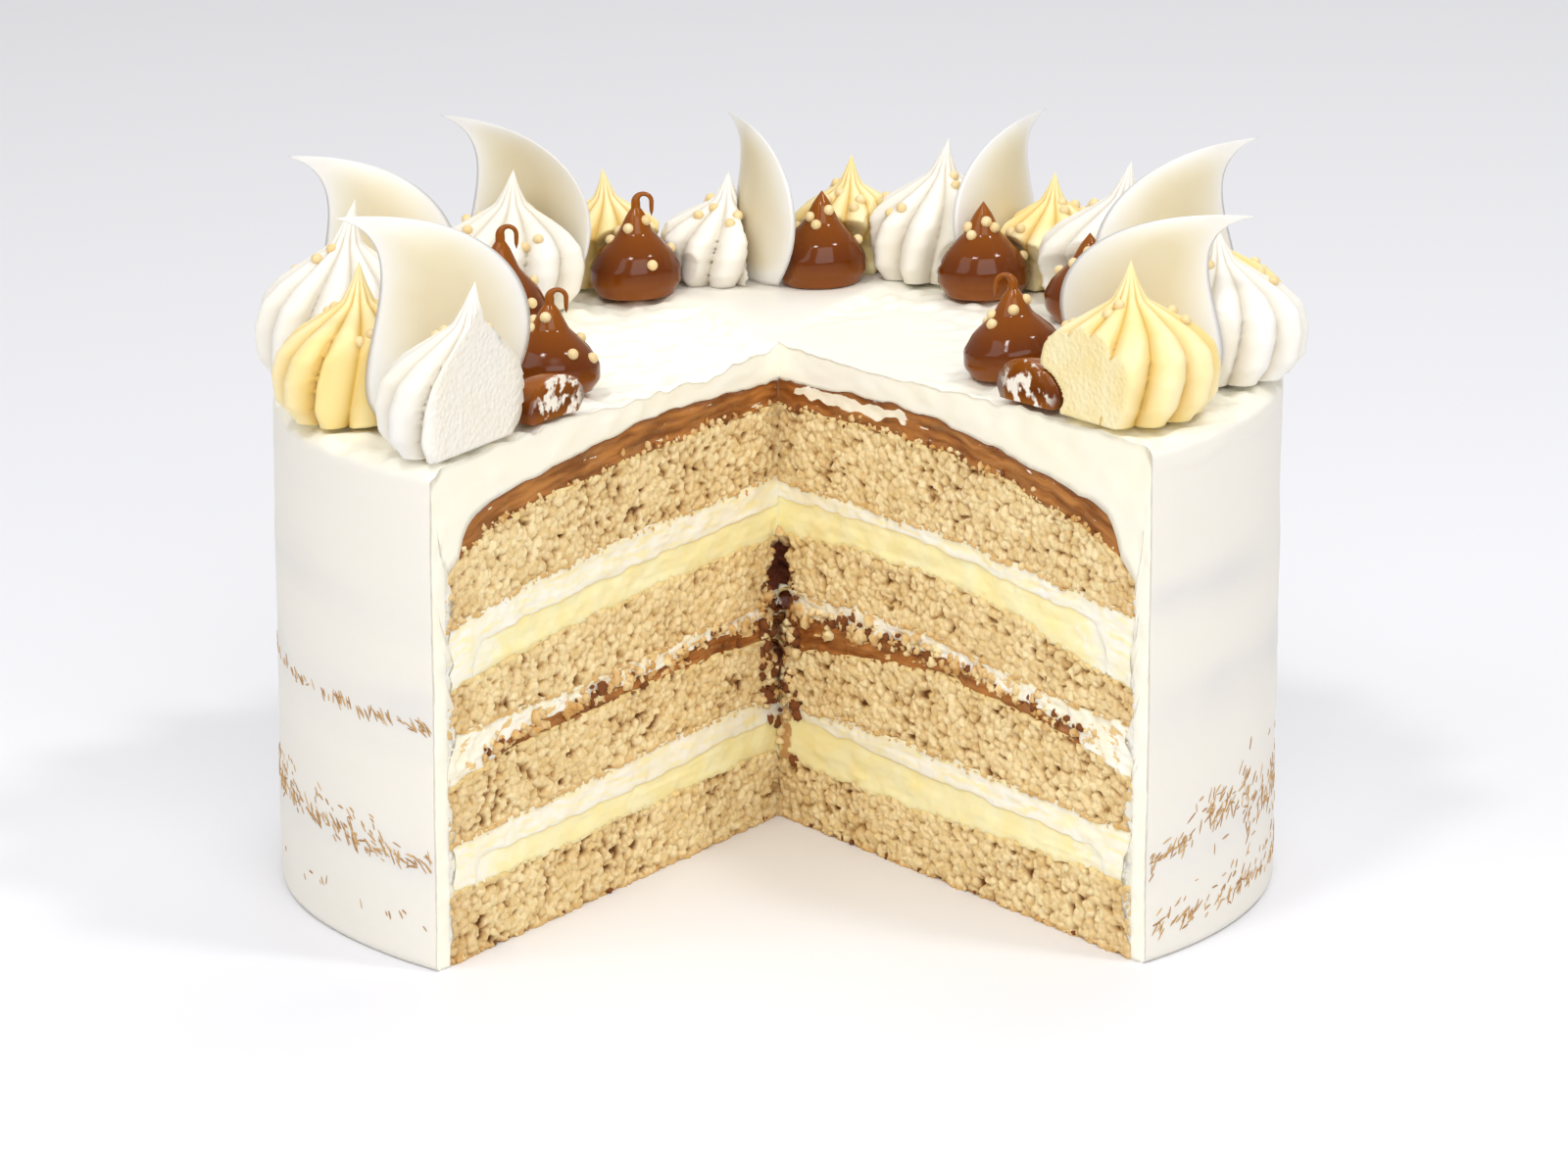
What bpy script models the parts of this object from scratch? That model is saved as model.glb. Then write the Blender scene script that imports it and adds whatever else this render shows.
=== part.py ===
"""A tall round layer cake with one wedge cut out: four sponges, two custards, creams and caramels inside a thin
coat of icing, and a ring of piped kisses and chocolate petals on top. Metres, +Z up, the cut opens towards -Y."""

import math

import bpy
import bmesh
import numpy as np
from mathutils import Vector

MM = 0.001

# The cake's body. Its axis lies a little in front of the middle of all that stands on it.
AXIS_Y = -12.8 * MM
CAKE_RADIUS = 103.5 * MM
COAT = 4.5 * MM
INSIDE_RADIUS = CAKE_RADIUS - COAT
CAP_RADIUS = 96 * MM
GAP = 0.3 * MM
EDGE_ROUND = 4 * MM
FOOT_ROUND = 0.8 * MM
SWEEP_STEPS = 24

# The wedge: its point lies behind the axis, and its two faces end at these angles on the rim.
APEX = np.array([0.2, 31.0]) * MM
RIGHT_CORNER = math.radians(-45.5)
LEFT_CORNER = math.radians(229.85)

# The top of the icing: a plane with a slight tilt, dished in the middle.
TOP_HEIGHT = 105.3 * MM
TOP_TILT_X = 0.026
TOP_TILT_Y = 0.017
DISH_DEPTH = 3.7 * MM
DISH_RADIUS = 68 * MM

# Heights in the middle of the cake, and how far each falls towards the rim.
SPONGE_1_TOP = (14.5 * MM, 0.0)
CUSTARD_1_TOP = (21.0 * MM, 2.5 * MM)
CREAM_1_TOP = (25.0 * MM, 0.3 * MM)
SPONGE_2_TOP = (42.0 * MM, 4.5 * MM)
CARAMEL_MID_TOP = (45.2 * MM, 4.8 * MM)
CREAM_MID_TOP = (49.0 * MM, 2.0 * MM)
SPONGE_3_TOP = (62.6 * MM, 5.2 * MM)
CUSTARD_2_TOP = (69.6 * MM, 3.9 * MM)
CREAM_2_TOP = (73.3 * MM, 3.2 * MM)
SPONGE_4_TOP = (90.6 * MM, 8.2 * MM)
CARAMEL_TOP_TOP = (96.2 * MM, 9.8 * MM)
LEVEL_RADIUS = 35 * MM
CORNER_DROP = 5 * MM
WAVE = 0.6 * MM
# Shares of the way from the wedge's point to the rim: the rings inside a layer, the end of a filling, and the
# ends of the caramel cap below and on top with the icing's bend round it.
INNER_RINGS = (0.4, 0.72)
FILLING_REACH = 0.9
DAM_GAP = 0.005
DAM_SLOPE = 0.002
CAP_BEND = 0.86
CAP_FOOT = 0.975
CAP_BROW = 0.965
COAT_BROW = 0.97
COAT_SHELF = 0.983
LID_RINGS = (0.85, 0.73, 0.62, 0.51, 0.4, 0.29, 0.17)

# Piped kisses: (name, angle on the cake, distance from its axis, kiss radius, height, lean of the tip).
WHITE_KISSES = (
    ("white_kiss_1", 227.1, 88.6, 18.0, 33.0, 2.0),
    ("white_kiss_2", 178.4, 89.5, 18.0, 36.0, 3.5),
    ("white_kiss_3", 131.7, 86.4, 18.0, 29.0, 1.0),
    ("white_kiss_4", 97.6, 86.8, 16.5, 23.0, 0.8),
    ("white_kiss_5", 67.4, 91.0, 17.0, 29.5, 2.2),
    ("white_kiss_6", 35.6, 89.2, 18.0, 30.0, 2.5),
    ("white_kiss_7", 349.2, 91.1, 18.0, 31.0, -1.6),
)
YELLOW_KISSES = (
    ("yellow_kiss_1", 202.5, 90.2, 17.5, 31.0, 0.5),
    ("yellow_kiss_2", 155.4, 91.3, 15.5, 21.0, 0.0),
    ("yellow_kiss_3", 113.8, 91.8, 13.5, 25.0, -1.0),
    ("yellow_kiss_4", 80.4, 93.3, 14.0, 25.0, 0.6),
    ("yellow_kiss_5", 50.7, 93.1, 14.0, 24.0, 0.8),
    ("yellow_kiss_6", 12.6, 91.7, 16.0, 24.0, -0.4),
    ("yellow_kiss_7", 324.4, 84.9, 18.5, 30.5, 0.3),
)
# Caramel kisses: (name, angle, distance, kiss radius, height, direction in which the tip curls, 0 for none).
CARAMEL_KISSES = (
    ("caramel_kiss_1", 222.2, 60.0, 10.5, 8.6, 0),
    ("caramel_kiss_2", 194.6, 47.6, 10.2, 18.5, 1),
    ("caramel_kiss_3", 150.0, 67.0, 10.2, 21.5, 1),
    ("caramel_kiss_4", 113.2, 77.5, 10.1, 20.0, 1),
    ("caramel_kiss_5", 83.0, 78.5, 10.1, 20.0, 0),
    ("caramel_kiss_6", 54.6, 76.0, 10.1, 20.0, 0),
    ("caramel_kiss_7", 29.0, 75.0, 10.0, 18.0, 0),
    ("caramel_kiss_8", 348.7, 48.7, 10.6, 18.5, -1),
    ("caramel_kiss_9", 321.4, 63.3, 10.5, 9.0, 0),
)
# A kiss's outline: (share of its radius, share of its height).
KISS_PROFILE = ((0.78, 0.0), (0.96, 0.12), (1.0, 0.3), (0.92, 0.45), (0.66, 0.58), (0.27, 0.7), (0.1, 0.85))
DROP_PROFILE = ((0.84, 0.0), (1.0, 0.13), (1.0, 0.3), (0.8, 0.47), (0.4, 0.66), (0.2, 0.86))
BUTTON_PROFILE = ((0.84, 0.0), (1.0, 0.28), (0.92, 0.55), (0.68, 0.8), (0.34, 0.95))
LOBES = 11
COLUMNS_A_LOBE = 2
GROOVE = 0.22
START_TURN = 0.7
TWIST = math.radians(26)
DROP_COLUMNS = 12
HOOK_RADIUS = 1.7 * MM
HOOK_TURNS = (40, 95, 150, 180)
STRAND = 0.75 * MM
STRAND_HANG = 5 * MM
PEARL_RADIUS = 1.15 * MM
PEARLS_A_KISS = 4
PEARL_ROOM = 1.6
# Kisses and petals further apart than this don't press on each other. A kiss is always at least a thin core
# wide, and its neighbour's width is taken over a short stretch of height.
NEAR = 25 * MM
CORE = 0.4 * MM
STRETCH = 3 * MM

# Chocolate petals: (name, angle, distance of the foot's middle, heading of the tip, side of the hollow,
# height of the tip, how far it reaches as a share of the usual).
PETALS = (
    ("petal_1", 213.3, 77.4, 196.0, 1, 42.1, 1.02),
    ("petal_2", 168.4, 82.1, 180.0, 1, 41.8, 0.92),
    ("petal_3", 128.2, 86.3, 145.0, -1, 38.0, 1.02),
    ("petal_4", 92.2, 80.5, 116.0, 1, 33.0, 0.95),
    ("petal_5", 58.5, 90.0, 55.0, -1, 32.8, 1.02),
    ("petal_6", 18.2, 85.0, 26.0, -1, 36.7, 1.04),
    ("petal_7", 340.2, 77.1, 336.0, -1, 35.1, 1.07),
)
# A petal's two edges as curves of (outwards, share of its height).
PETAL_INNER = ((-8, 0), (-25.6, 0.465), (-14.4, 1.02), (22.3, 1))
PETAL_OUTER = ((11, 0), (27.7, 0.121), (0.4, 0.858), (22.3, 1))
PETAL_CUP = 3.4 * MM
PETAL_THICK = 1.3 * MM
PETAL_FLICK = 1.6 * MM
PETAL_LIFT = 0.1 * MM
PETAL_ROWS = 8
PETAL_COLUMNS = 4
SECTION_ROWS = 12
SECTION_COLUMNS = 6

IVORY = (0.86, 0.80, 0.68)
WHITE = (0.93, 0.90, 0.84)
YELLOW = (0.90, 0.76, 0.32)
CUSTARD = (0.93, 0.78, 0.36)
CARAMEL = (0.24, 0.075, 0.02)
SPONGE = (0.58, 0.40, 0.19)


def clear_scene():
    for obj in list(bpy.data.objects):
        bpy.data.objects.remove(obj, do_unlink=True)


def collection(name, hidden=False):
    made = bpy.data.collections.new(name)
    bpy.context.scene.collection.children.link(made)
    made.hide_render = hidden
    return made


def material(name, colour, roughness):
    made = bpy.data.materials.new(name)
    made.use_nodes = True
    shader = made.node_tree.nodes["Principled BSDF"]
    shader.inputs["Base Color"].default_value = (*colour, 1)
    shader.inputs["Roughness"].default_value = roughness
    shader.inputs["Metallic"].default_value = 0.0
    return made


def mesh_object(name, points, faces, finish):
    """A closed mesh with its faces turned outwards, placed on the cake's axis by its parent."""
    mesh = bpy.data.meshes.new(name)
    mesh.from_pydata([tuple(p) for p in points], [], faces)
    shell = bmesh.new()
    shell.from_mesh(mesh)
    bmesh.ops.remove_doubles(shell, verts=shell.verts, dist=1e-7)
    bmesh.ops.recalc_face_normals(shell, faces=shell.faces)
    bmesh.ops.triangulate(shell, faces=shell.faces)
    shell.to_mesh(mesh)
    shell.free()
    mesh.materials.append(finish)
    mesh.shade_smooth()
    mesh.set_sharp_from_angle(angle=math.radians(40))
    obj = bpy.data.objects.new(name, mesh)
    cake.objects.link(obj)
    obj.parent = axis
    return obj


def smooth(share):
    share = min(max(share, 0.0), 1.0)
    return share * share * (3 - 2 * share)


def lid(x, y):
    """Height of the icing's top: the tilted plane, less the dish."""
    plane = TOP_HEIGHT + TOP_TILT_X * x + TOP_TILT_Y * y
    return plane - DISH_DEPTH * (1 - smooth(math.hypot(x, y) / DISH_RADIUS))


def level(heights, phase, lift=0.0):
    """A boundary between layers: it falls towards the rim, tilts with the top and waves a little."""
    middle, fall = heights

    def height(x, y):
        share = math.hypot(x, y) / INSIDE_RADIUS
        tilt = 1 + (TOP_TILT_X * x + TOP_TILT_Y * y) / TOP_HEIGHT
        angle = math.atan2(y, x)
        wave = WAVE * share * math.sin(5 * angle + phase) * math.cos(2 * angle - phase)
        return (middle - fall * share**3) * tilt + wave + lift

    return height


def dome(heights, lift=0.0):
    """The curved upper boundaries: nearly level in the middle, then bending down to the rim."""
    middle, fall = heights

    def height(x, y):
        share = max(math.hypot(x, y) - LEVEL_RADIUS, 0) / (CAP_RADIUS - LEVEL_RADIUS)
        tilt = 1 + (TOP_TILT_X * x + TOP_TILT_Y * y) / TOP_HEIGHT
        return (middle - fall * share**2) * tilt + lift

    return height


def flat(z):
    return lambda x, y: z


def reach(direction, radius):
    """How far a ray from the wedge's point runs to the circle of this radius about the axis."""
    across = APEX @ direction
    return -across + math.sqrt(across**2 - APEX @ APEX + radius**2)


def rays():
    """Unit directions from the wedge's point, evenly spread round the rim from one cut face to the other."""
    for step in range(SWEEP_STEPS + 1):
        angle = RIGHT_CORNER + (LEFT_CORNER - RIGHT_CORNER) * step / SWEEP_STEPS
        across = CAKE_RADIUS * np.array([math.cos(angle), math.sin(angle)]) - APEX
        yield across / np.linalg.norm(across)


def swept(name, profile, finish):
    """A layer: its profile of (radius, share of the way there, height) carried round the wedge's point.
    The profile starts and ends on the wedge's edge, and its end sections are the two cut faces."""
    low, high = profile[0], profile[-1]
    points = [(*APEX, low[2](*APEX)), (*APEX, high[2](*APEX))]
    between = profile[1:-1]
    for direction in rays():
        for radius, share, height in between:
            x, y = APEX + direction * reach(direction, radius) * share
            points.append((x, y, height(x, y)))
    count = len(between)
    faces = []
    for step in range(SWEEP_STEPS):
        here = 2 + step * count
        there = here + count
        faces.append((0, here, there))
        faces.append((1, there + count - 1, here + count - 1))
        for k in range(count - 1):
            faces.append((here + k, here + k + 1, there + k + 1, there + k))
    last = 2 + SWEEP_STEPS * count
    faces.append((0, *range(2, 2 + count), 1))
    faces.append((1, *reversed(range(last, last + count)), 0))
    return mesh_object(name, points, faces, finish)


def disc(name, under, over, radius, finish, under_reach=1.0, over_reach=1.0):
    """A plain layer between two boundaries."""
    profile = [(radius, 0, under)]
    profile += [(radius, share * under_reach, under) for share in (*INNER_RINGS, 1.0)]
    profile += [(radius, share * over_reach, over) for share in (1.0, *reversed(INNER_RINGS))]
    profile += [(radius, 0, over)]
    return swept(name, profile, finish)


def dammed_cream(name, filling_top, seat, over, finish):
    """Cream over a filling and down round its outer end to the sponge below."""
    radius = INSIDE_RADIUS - GAP
    dam = FILLING_REACH + DAM_GAP
    profile = [(radius, 0, filling_top)]
    profile += [(radius, share * FILLING_REACH, filling_top) for share in INNER_RINGS]
    profile += [(radius, dam, filling_top), (radius, dam + DAM_SLOPE, seat), (radius, 1.0, seat)]
    profile += [(radius, share, over) for share in (1.0, *reversed(INNER_RINGS), 0)]
    return swept(name, profile, finish)


def layers(sponge, cream, custard, caramel):
    inside = INSIDE_RADIUS - GAP
    disc("sponge_1", flat(0), level(SPONGE_1_TOP, 0), inside, sponge)
    on_1 = level(SPONGE_1_TOP, 0, GAP)
    filling = {"under_reach": FILLING_REACH, "over_reach": FILLING_REACH}
    disc("custard_1", on_1, level(CUSTARD_1_TOP, 1), inside, custard, **filling)
    dammed_cream("cream_1", level(CUSTARD_1_TOP, 1, GAP), on_1, level(CREAM_1_TOP, 2), cream)
    disc("sponge_2", level(CREAM_1_TOP, 2, GAP), level(SPONGE_2_TOP, 3), inside, sponge)
    on_2 = level(SPONGE_2_TOP, 3, GAP)
    disc("caramel_mid", on_2, level(CARAMEL_MID_TOP, 4), inside, caramel, **filling)
    dammed_cream("cream_mid", level(CARAMEL_MID_TOP, 4, GAP), on_2, level(CREAM_MID_TOP, 5), cream)
    disc("sponge_3", level(CREAM_MID_TOP, 5, GAP), level(SPONGE_3_TOP, 6), inside, sponge)
    on_3 = level(SPONGE_3_TOP, 6, GAP)
    disc("custard_2", on_3, level(CUSTARD_2_TOP, 7), inside, custard, **filling)
    dammed_cream("cream_2", level(CUSTARD_2_TOP, 7, GAP), on_3, level(CREAM_2_TOP, 8), cream)
    under_4 = level(CREAM_2_TOP, 8, GAP)
    sponge_top = dome(SPONGE_4_TOP)
    profile = [(inside, share, under_4) for share in (0, *INNER_RINGS, 1.0)]
    profile += [(inside, 1.0, lambda x, y: sponge_top(x, y) - CORNER_DROP), (CAP_RADIUS, 1.0, sponge_top)]
    profile += [(CAP_RADIUS, share, sponge_top) for share in (CAP_BEND, *reversed(INNER_RINGS), 0)]
    swept("sponge_4", profile, sponge)
    under = dome(SPONGE_4_TOP, GAP)
    over = dome(CARAMEL_TOP_TOP)
    profile = [(CAP_RADIUS, share, under) for share in (0, *INNER_RINGS, CAP_BEND, CAP_FOOT)]
    profile += [(CAP_RADIUS, share, over) for share in (CAP_BROW, CAP_BEND, *reversed(INNER_RINGS), 0)]
    swept("caramel_top", profile, caramel)


def icing_coat(finish):
    """The icing over the top and round the side, down to the foot."""
    over_cap = dome(CARAMEL_TOP_TOP, GAP)
    sponge_top = dome(SPONGE_4_TOP)
    profile = [(CAP_RADIUS, share, over_cap) for share in (0, *INNER_RINGS, CAP_BEND, COAT_BROW)]
    profile.append((CAP_RADIUS, COAT_SHELF, dome(SPONGE_4_TOP, GAP)))
    profile.append((CAP_RADIUS + GAP, 1.0, lambda x, y: sponge_top(x, y) + GAP))
    profile.append((INSIDE_RADIUS, 1.0, lambda x, y: sponge_top(x, y) - CORNER_DROP + GAP))
    profile.append((INSIDE_RADIUS, 1.0, flat(0)))
    profile.append((CAKE_RADIUS - FOOT_ROUND, 1.0, flat(0)))
    profile.append((CAKE_RADIUS, 1.0, flat(FOOT_ROUND)))
    for turn in (0, 30, 60, 90):
        inset = EDGE_ROUND * (1 - math.cos(math.radians(turn)))
        drop = EDGE_ROUND * (1 - math.sin(math.radians(turn)))
        profile.append((CAKE_RADIUS - inset, 1.0, lambda x, y, drop=drop: lid(x, y) - drop))
    profile += [(CAKE_RADIUS, share, lid) for share in (*LID_RINGS, 0)]
    return swept("icing_coat", profile, finish)


def spot(angle, distance):
    return distance * MM * np.array([math.cos(math.radians(angle)), math.sin(math.radians(angle))])


def cut_planes():
    """The two cut faces as (a point, the direction into the cake)."""
    for corner, turn in ((RIGHT_CORNER, 1), (LEFT_CORNER, -1)):
        along = CAKE_RADIUS * np.array([math.cos(corner), math.sin(corner)]) - APEX
        along /= np.linalg.norm(along)
        yield APEX, turn * np.array([-along[1], along[0]])


def profile_radius(profile, radius, height, z):
    """A kiss's radius at height z over its foot."""
    shares = [part[0] for part in profile] + [0.0]
    steps = [part[1] for part in profile] + [1.0]
    return radius * float(np.interp(z / height, steps, shares, right=0.0))


def widest(kiss, z):
    """The largest radius of a kiss within a short stretch of height z."""
    return max(profile_radius(*kiss, max(z + step, 0)) for step in (-STRETCH, 0, STRETCH))


def room(centre, own, others, z):
    """Vertical planes that bound a kiss at height z over its foot: the cut faces, its neighbours and the petals
    beside it, as (direction outwards, distance from the kiss's axis)."""
    for point, inwards in cut_planes():
        inside = float((centre - point) @ inwards)
        if 0 < inside < NEAR:
            yield -inwards, inside
    for other_centre, other, firm in others:
        across = other_centre - centre
        far = float(np.linalg.norm(across))
        mine = widest(own, z)
        theirs = widest(other, z)
        if mine + theirs + 3 * GAP < far or theirs == 0:
            continue
        share = far - theirs if firm else (far**2 + mine**2 - theirs**2) / (2 * far)
        yield across / far, share - 2 * GAP
    for row in PETALS:
        yield from beside_petal(centre, row, lid(*centre) + z)


def beside_petal(centre, row, z):
    """The vertical plane that best parts a kiss's axis from the section of a petal at height z, if it is near:
    of many directions, the one in which the nearest point of the section is furthest away."""
    if np.linalg.norm(spot(row[1], row[2]) - centre) > 2 * NEAR:
        return
    shares = [(i / SECTION_ROWS, j / SECTION_COLUMNS)
              for i in range(SECTION_ROWS + 1) for j in range(SECTION_COLUMNS + 1)]
    section = [point for point in (petal_point(row, u, v) for u, v in shares) if abs(point[2] - z) < STRETCH]
    if not section:
        return
    ways = np.radians(np.arange(0, 360, 2))
    ways = np.stack([np.cos(ways), np.sin(ways)])
    nearest = ((np.array(section)[:, :2] - centre) @ ways).min(axis=0)
    best = int(nearest.argmax())
    if nearest[best] < NEAR:
        yield ways[:, best], float(nearest[best]) - PETAL_THICK / 2 - GAP


def rise(centre, x, y):
    """How much higher the icing is beside a kiss's middle than under it."""
    return lid(centre[0] + x, centre[1] + y) - lid(*centre)


def pressed(direction, radius, planes):
    for outwards, distance in planes:
        towards = float(direction @ outwards)
        if towards > 1e-6:
            radius = min(radius, max(distance, CORE) / towards)
    return radius


def loft(name, rings, tip, finish, location):
    """A closed body through rings of equal count, with a flat foot and a pointed end."""
    count = len(rings[0])
    points = [p for ring in rings for p in ring]
    faces = [tuple(reversed(range(count)))]
    for k in range(len(rings) - 1):
        for j in range(count):
            n = (j + 1) % count
            faces.append((k * count + j, k * count + n, (k + 1) * count + n, (k + 1) * count + j))
    last = (len(rings) - 1) * count
    points.append(tip)
    faces += [(last + j, last + (j + 1) % count, len(points) - 1) for j in range(count)]
    obj = mesh_object(name, points, faces, finish)
    obj.location = location
    return obj


def star_kiss(row, number, others, finish):
    """A kiss piped through a star nozzle: rounded lobes with sharp grooves, turning as they climb to a thin tip,
    less what presses on it from beside."""
    name, angle, distance, radius, height, lean = row
    centre = spot(angle, distance)
    radius *= MM
    height *= MM
    columns = LOBES * COLUMNS_A_LOBE
    rings = []
    for share, up in KISS_PROFILE:
        planes = list(room(centre, (KISS_PROFILE, radius, height), others, up * height))
        ring = []
        for column in range(columns):
            turn = 2 * math.pi * column / columns
            around = turn + number * START_TURN + TWIST * up
            lobe = abs(math.sin(LOBES * turn / 2))
            direction = np.array([math.cos(around), math.sin(around)])
            x, y = direction * pressed(direction, radius * share * (1 - GROOVE + GROOVE * lobe), planes)
            x += lean * MM * up**3
            ring.append((x, y, up * height + rise(centre, x, y)))
        rings.append(ring)
    kiss = loft(name, rings, (lean * MM, 0, height), finish, (*centre, lid(*centre) + GAP))
    return fuse_pearls(kiss, pearl_spots(rings, number, centre, others))


def drop_kiss(row, number, finish):
    """A caramel kiss: a smooth fat drop whose tip bends over, and on some curls down in a thin strand.
    One that the knife met is only a low button with a flat side."""
    name, angle, distance, radius, height, hook = row
    centre = spot(angle, distance)
    radius *= MM
    height *= MM
    profile = BUTTON_PROFILE if height < radius else DROP_PROFILE
    rings = []
    for share, up in profile:
        planes = list(room(centre, (profile, radius, height), [], up * height))
        ring = []
        for column in range(DROP_COLUMNS):
            around = 2 * math.pi * column / DROP_COLUMNS
            direction = np.array([math.cos(around), math.sin(around)])
            x, y = direction * pressed(direction, radius * share, planes)
            ring.append((x, y, up * height + rise(centre, x, y)))
        rings.append(ring)
    seats = []
    if profile is DROP_PROFILE:
        seats = list(pearl_spots(rings, number, centre, list(neighbours(row))))
    tip = (0, 0, height)
    if hook:
        for turn in HOOK_TURNS:
            rings.append(strand_ring(turn, hook, height))
        tip = (2 * HOOK_RADIUS * hook, 0, height - STRAND_HANG)
    drop = loft(name, rings, tip, finish, (*centre, lid(*centre) + GAP))
    return fuse_pearls(drop, seats)


def strand_ring(turn, hook, height):
    """One ring of the strand, which climbs from the drop's tip over a half circle and hangs down."""
    angle = math.radians(turn)
    middle = np.array([hook * HOOK_RADIUS * (1 - math.cos(angle)), 0, height + HOOK_RADIUS * math.sin(angle)])
    inwards = np.array([hook * math.cos(angle), 0, -math.sin(angle)]) * hook
    thick = STRAND * (1.5 - turn / 240)
    ring = []
    for column in range(DROP_COLUMNS):
        around = 2 * math.pi * column / DROP_COLUMNS
        side = math.cos(around) * inwards + math.sin(around) * np.array([0, 1, 0])
        ring.append(tuple(middle + thick * side))
    return ring


def pearl_spots(rings, number, centre, others):
    """Seats for pearls on the upper slope of a kiss, well spread, each with its middle on the surface and
    clear of what stands beside it."""
    columns = len(rings[0])
    top = len(rings) - 3
    for k in range(PEARLS_A_KISS):
        column = (5 + number * 4 + k * (columns // 3 + 1)) % columns
        low = np.array(rings[top - (k + number) % 2][column])
        high = np.array(rings[top + 1 - (k + number) % 2][column])
        seat = low + (high - low) * (0.25 + 0.2 * ((k + number) % 3))
        planes = room(centre, None, [], seat[2])
        clear = all(float(seat[:2] @ outwards) + PEARL_ROOM * PEARL_RADIUS < far for outwards, far in planes)
        for other_centre, other, firm in others:
            away = float(np.linalg.norm(centre + seat[:2] - other_centre))
            clear = clear and away > profile_radius(*other, seat[2]) + PEARL_ROOM * PEARL_RADIUS
        if clear:
            yield seat


def fuse_pearls(kiss, spots):
    """Joins small round pearls to a kiss in one body."""
    pearls = collection(kiss.name + "_pearls", hidden=True)
    for x, y, z in spots:
        ball = bmesh.new()
        bmesh.ops.create_icosphere(ball, subdivisions=1, radius=PEARL_RADIUS)
        mesh = bpy.data.meshes.new("pearl")
        ball.to_mesh(mesh)
        ball.free()
        pearl = bpy.data.objects.new("pearl", mesh)
        pearl.location = axis.location + kiss.location + Vector((x, y, z))
        pearl.rotation_euler = (x / PEARL_RADIUS, y / PEARL_RADIUS, z / PEARL_RADIUS)
        pearl.display_type = "WIRE"
        pearls.objects.link(pearl)
    if pearls.objects:
        union = kiss.modifiers.new("pearls", "BOOLEAN")
        union.operation = "UNION"
        union.solver = "EXACT"
        union.operand_type = "COLLECTION"
        union.collection = pearls
        apply_modifiers(kiss)
    for pearl in list(pearls.objects):
        bpy.data.objects.remove(pearl, do_unlink=True)
    bpy.data.collections.remove(pearls)
    return kiss


def apply_modifiers(obj):
    bpy.context.view_layer.update()
    graph = bpy.context.evaluated_depsgraph_get()
    mesh = bpy.data.meshes.new_from_object(obj.evaluated_get(graph))
    obj.modifiers.clear()
    obj.data = mesh


def bezier(corners, share):
    weights = ((1 - share) ** 3, 3 * share * (1 - share) ** 2, 3 * share**2 * (1 - share), share**3)
    return sum(w * np.array(corner, float) for w, corner in zip(weights, corners))


def petal_point(row, u, v, lens=0.0):
    """A point of a petal, u of the way up and v of the way from its inner edge to its outer one: on the line
    between the two edges, moved sideways by the cup, the flick of the tip and the share of the thickness."""
    name, angle, distance, heading, side, height, stretch = row
    outwards = spot(heading, 1) / MM
    across = np.array([-outwards[1], outwards[0]])
    foot = spot(angle, distance)
    between = (1 - v) * bezier(PETAL_INNER, u) + v * bezier(PETAL_OUTER, u)
    flat_point = between * (stretch, height) * MM
    hollow = 4 * v * (1 - v) * math.sin(math.pi * min(u + 0.12, 1.0) ** 0.8)
    bulge = side * PETAL_CUP * hollow - side * PETAL_FLICK * u**3
    x, y = foot + outwards * flat_point[0] + across * (bulge + lens)
    base = lid(*foot) + GAP + TOP_TILT_X * (x - foot[0]) + TOP_TILT_Y * (y - foot[1])
    return x, y, base + PETAL_LIFT + flat_point[1]


def petal(row, finish):
    """A thin cupped petal: ruled between its two curved edges, thickest in the middle, sharp at the edges."""
    points = []
    faces = []
    index = {}

    def point(i, j, face):
        """Both faces share the points of the edges and the tip."""
        shared = j in (0, PETAL_COLUMNS) or i == PETAL_ROWS
        key = (i, 0 if i == PETAL_ROWS else j, 0 if shared else face)
        if key not in index:
            u, v = i / PETAL_ROWS, j / PETAL_COLUMNS
            index[key] = len(points)
            points.append(petal_point(row, u, v, face * PETAL_THICK / 2 * 4 * v * (1 - v) * (1 - 0.6 * u)))
        return index[key]

    for i in range(PETAL_ROWS):
        for j in range(PETAL_COLUMNS):
            for face in (-1, 1):
                quad = [point(i, j, face), point(i, j + 1, face), point(i + 1, j + 1, face), point(i + 1, j, face)]
                quad = list(dict.fromkeys(quad))
                faces.append(tuple(quad if face > 0 else reversed(quad)))
    foot_ring = [point(0, j, -1) for j in range(PETAL_COLUMNS + 1)]
    foot_ring += [point(0, j, 1) for j in range(PETAL_COLUMNS - 1, 0, -1)]
    faces.append(tuple(foot_ring))
    return mesh_object(row[0], points, faces, finish)


def neighbours(own):
    """Every other kiss near this one, as (centre, outline, whether it holds its shape)."""
    centre = spot(own[1], own[2])
    for row in WHITE_KISSES + YELLOW_KISSES + CARAMEL_KISSES:
        other = spot(row[1], row[2])
        if row is own or np.linalg.norm(other - centre) > 2 * NEAR:
            continue
        firm = row in CARAMEL_KISSES
        profile = KISS_PROFILE
        if firm:
            profile = BUTTON_PROFILE if row[4] < row[3] else DROP_PROFILE
        yield other, (profile, row[3] * MM, row[4] * MM), firm


def toppings():
    white = material("whipped_white", WHITE, 0.55)
    yellow = material("whipped_yellow", YELLOW, 0.5)
    glossy = material("glossy_caramel", CARAMEL, 0.15)
    chocolate = material("white_chocolate", WHITE, 0.35)
    for rows, finish in ((WHITE_KISSES, white), (YELLOW_KISSES, yellow)):
        for number, row in enumerate(rows):
            star_kiss(row, number, list(neighbours(row)), finish)
    for number, row in enumerate(CARAMEL_KISSES):
        drop_kiss(row, number, glossy)
    for row in PETALS:
        petal(row, chocolate)


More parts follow.
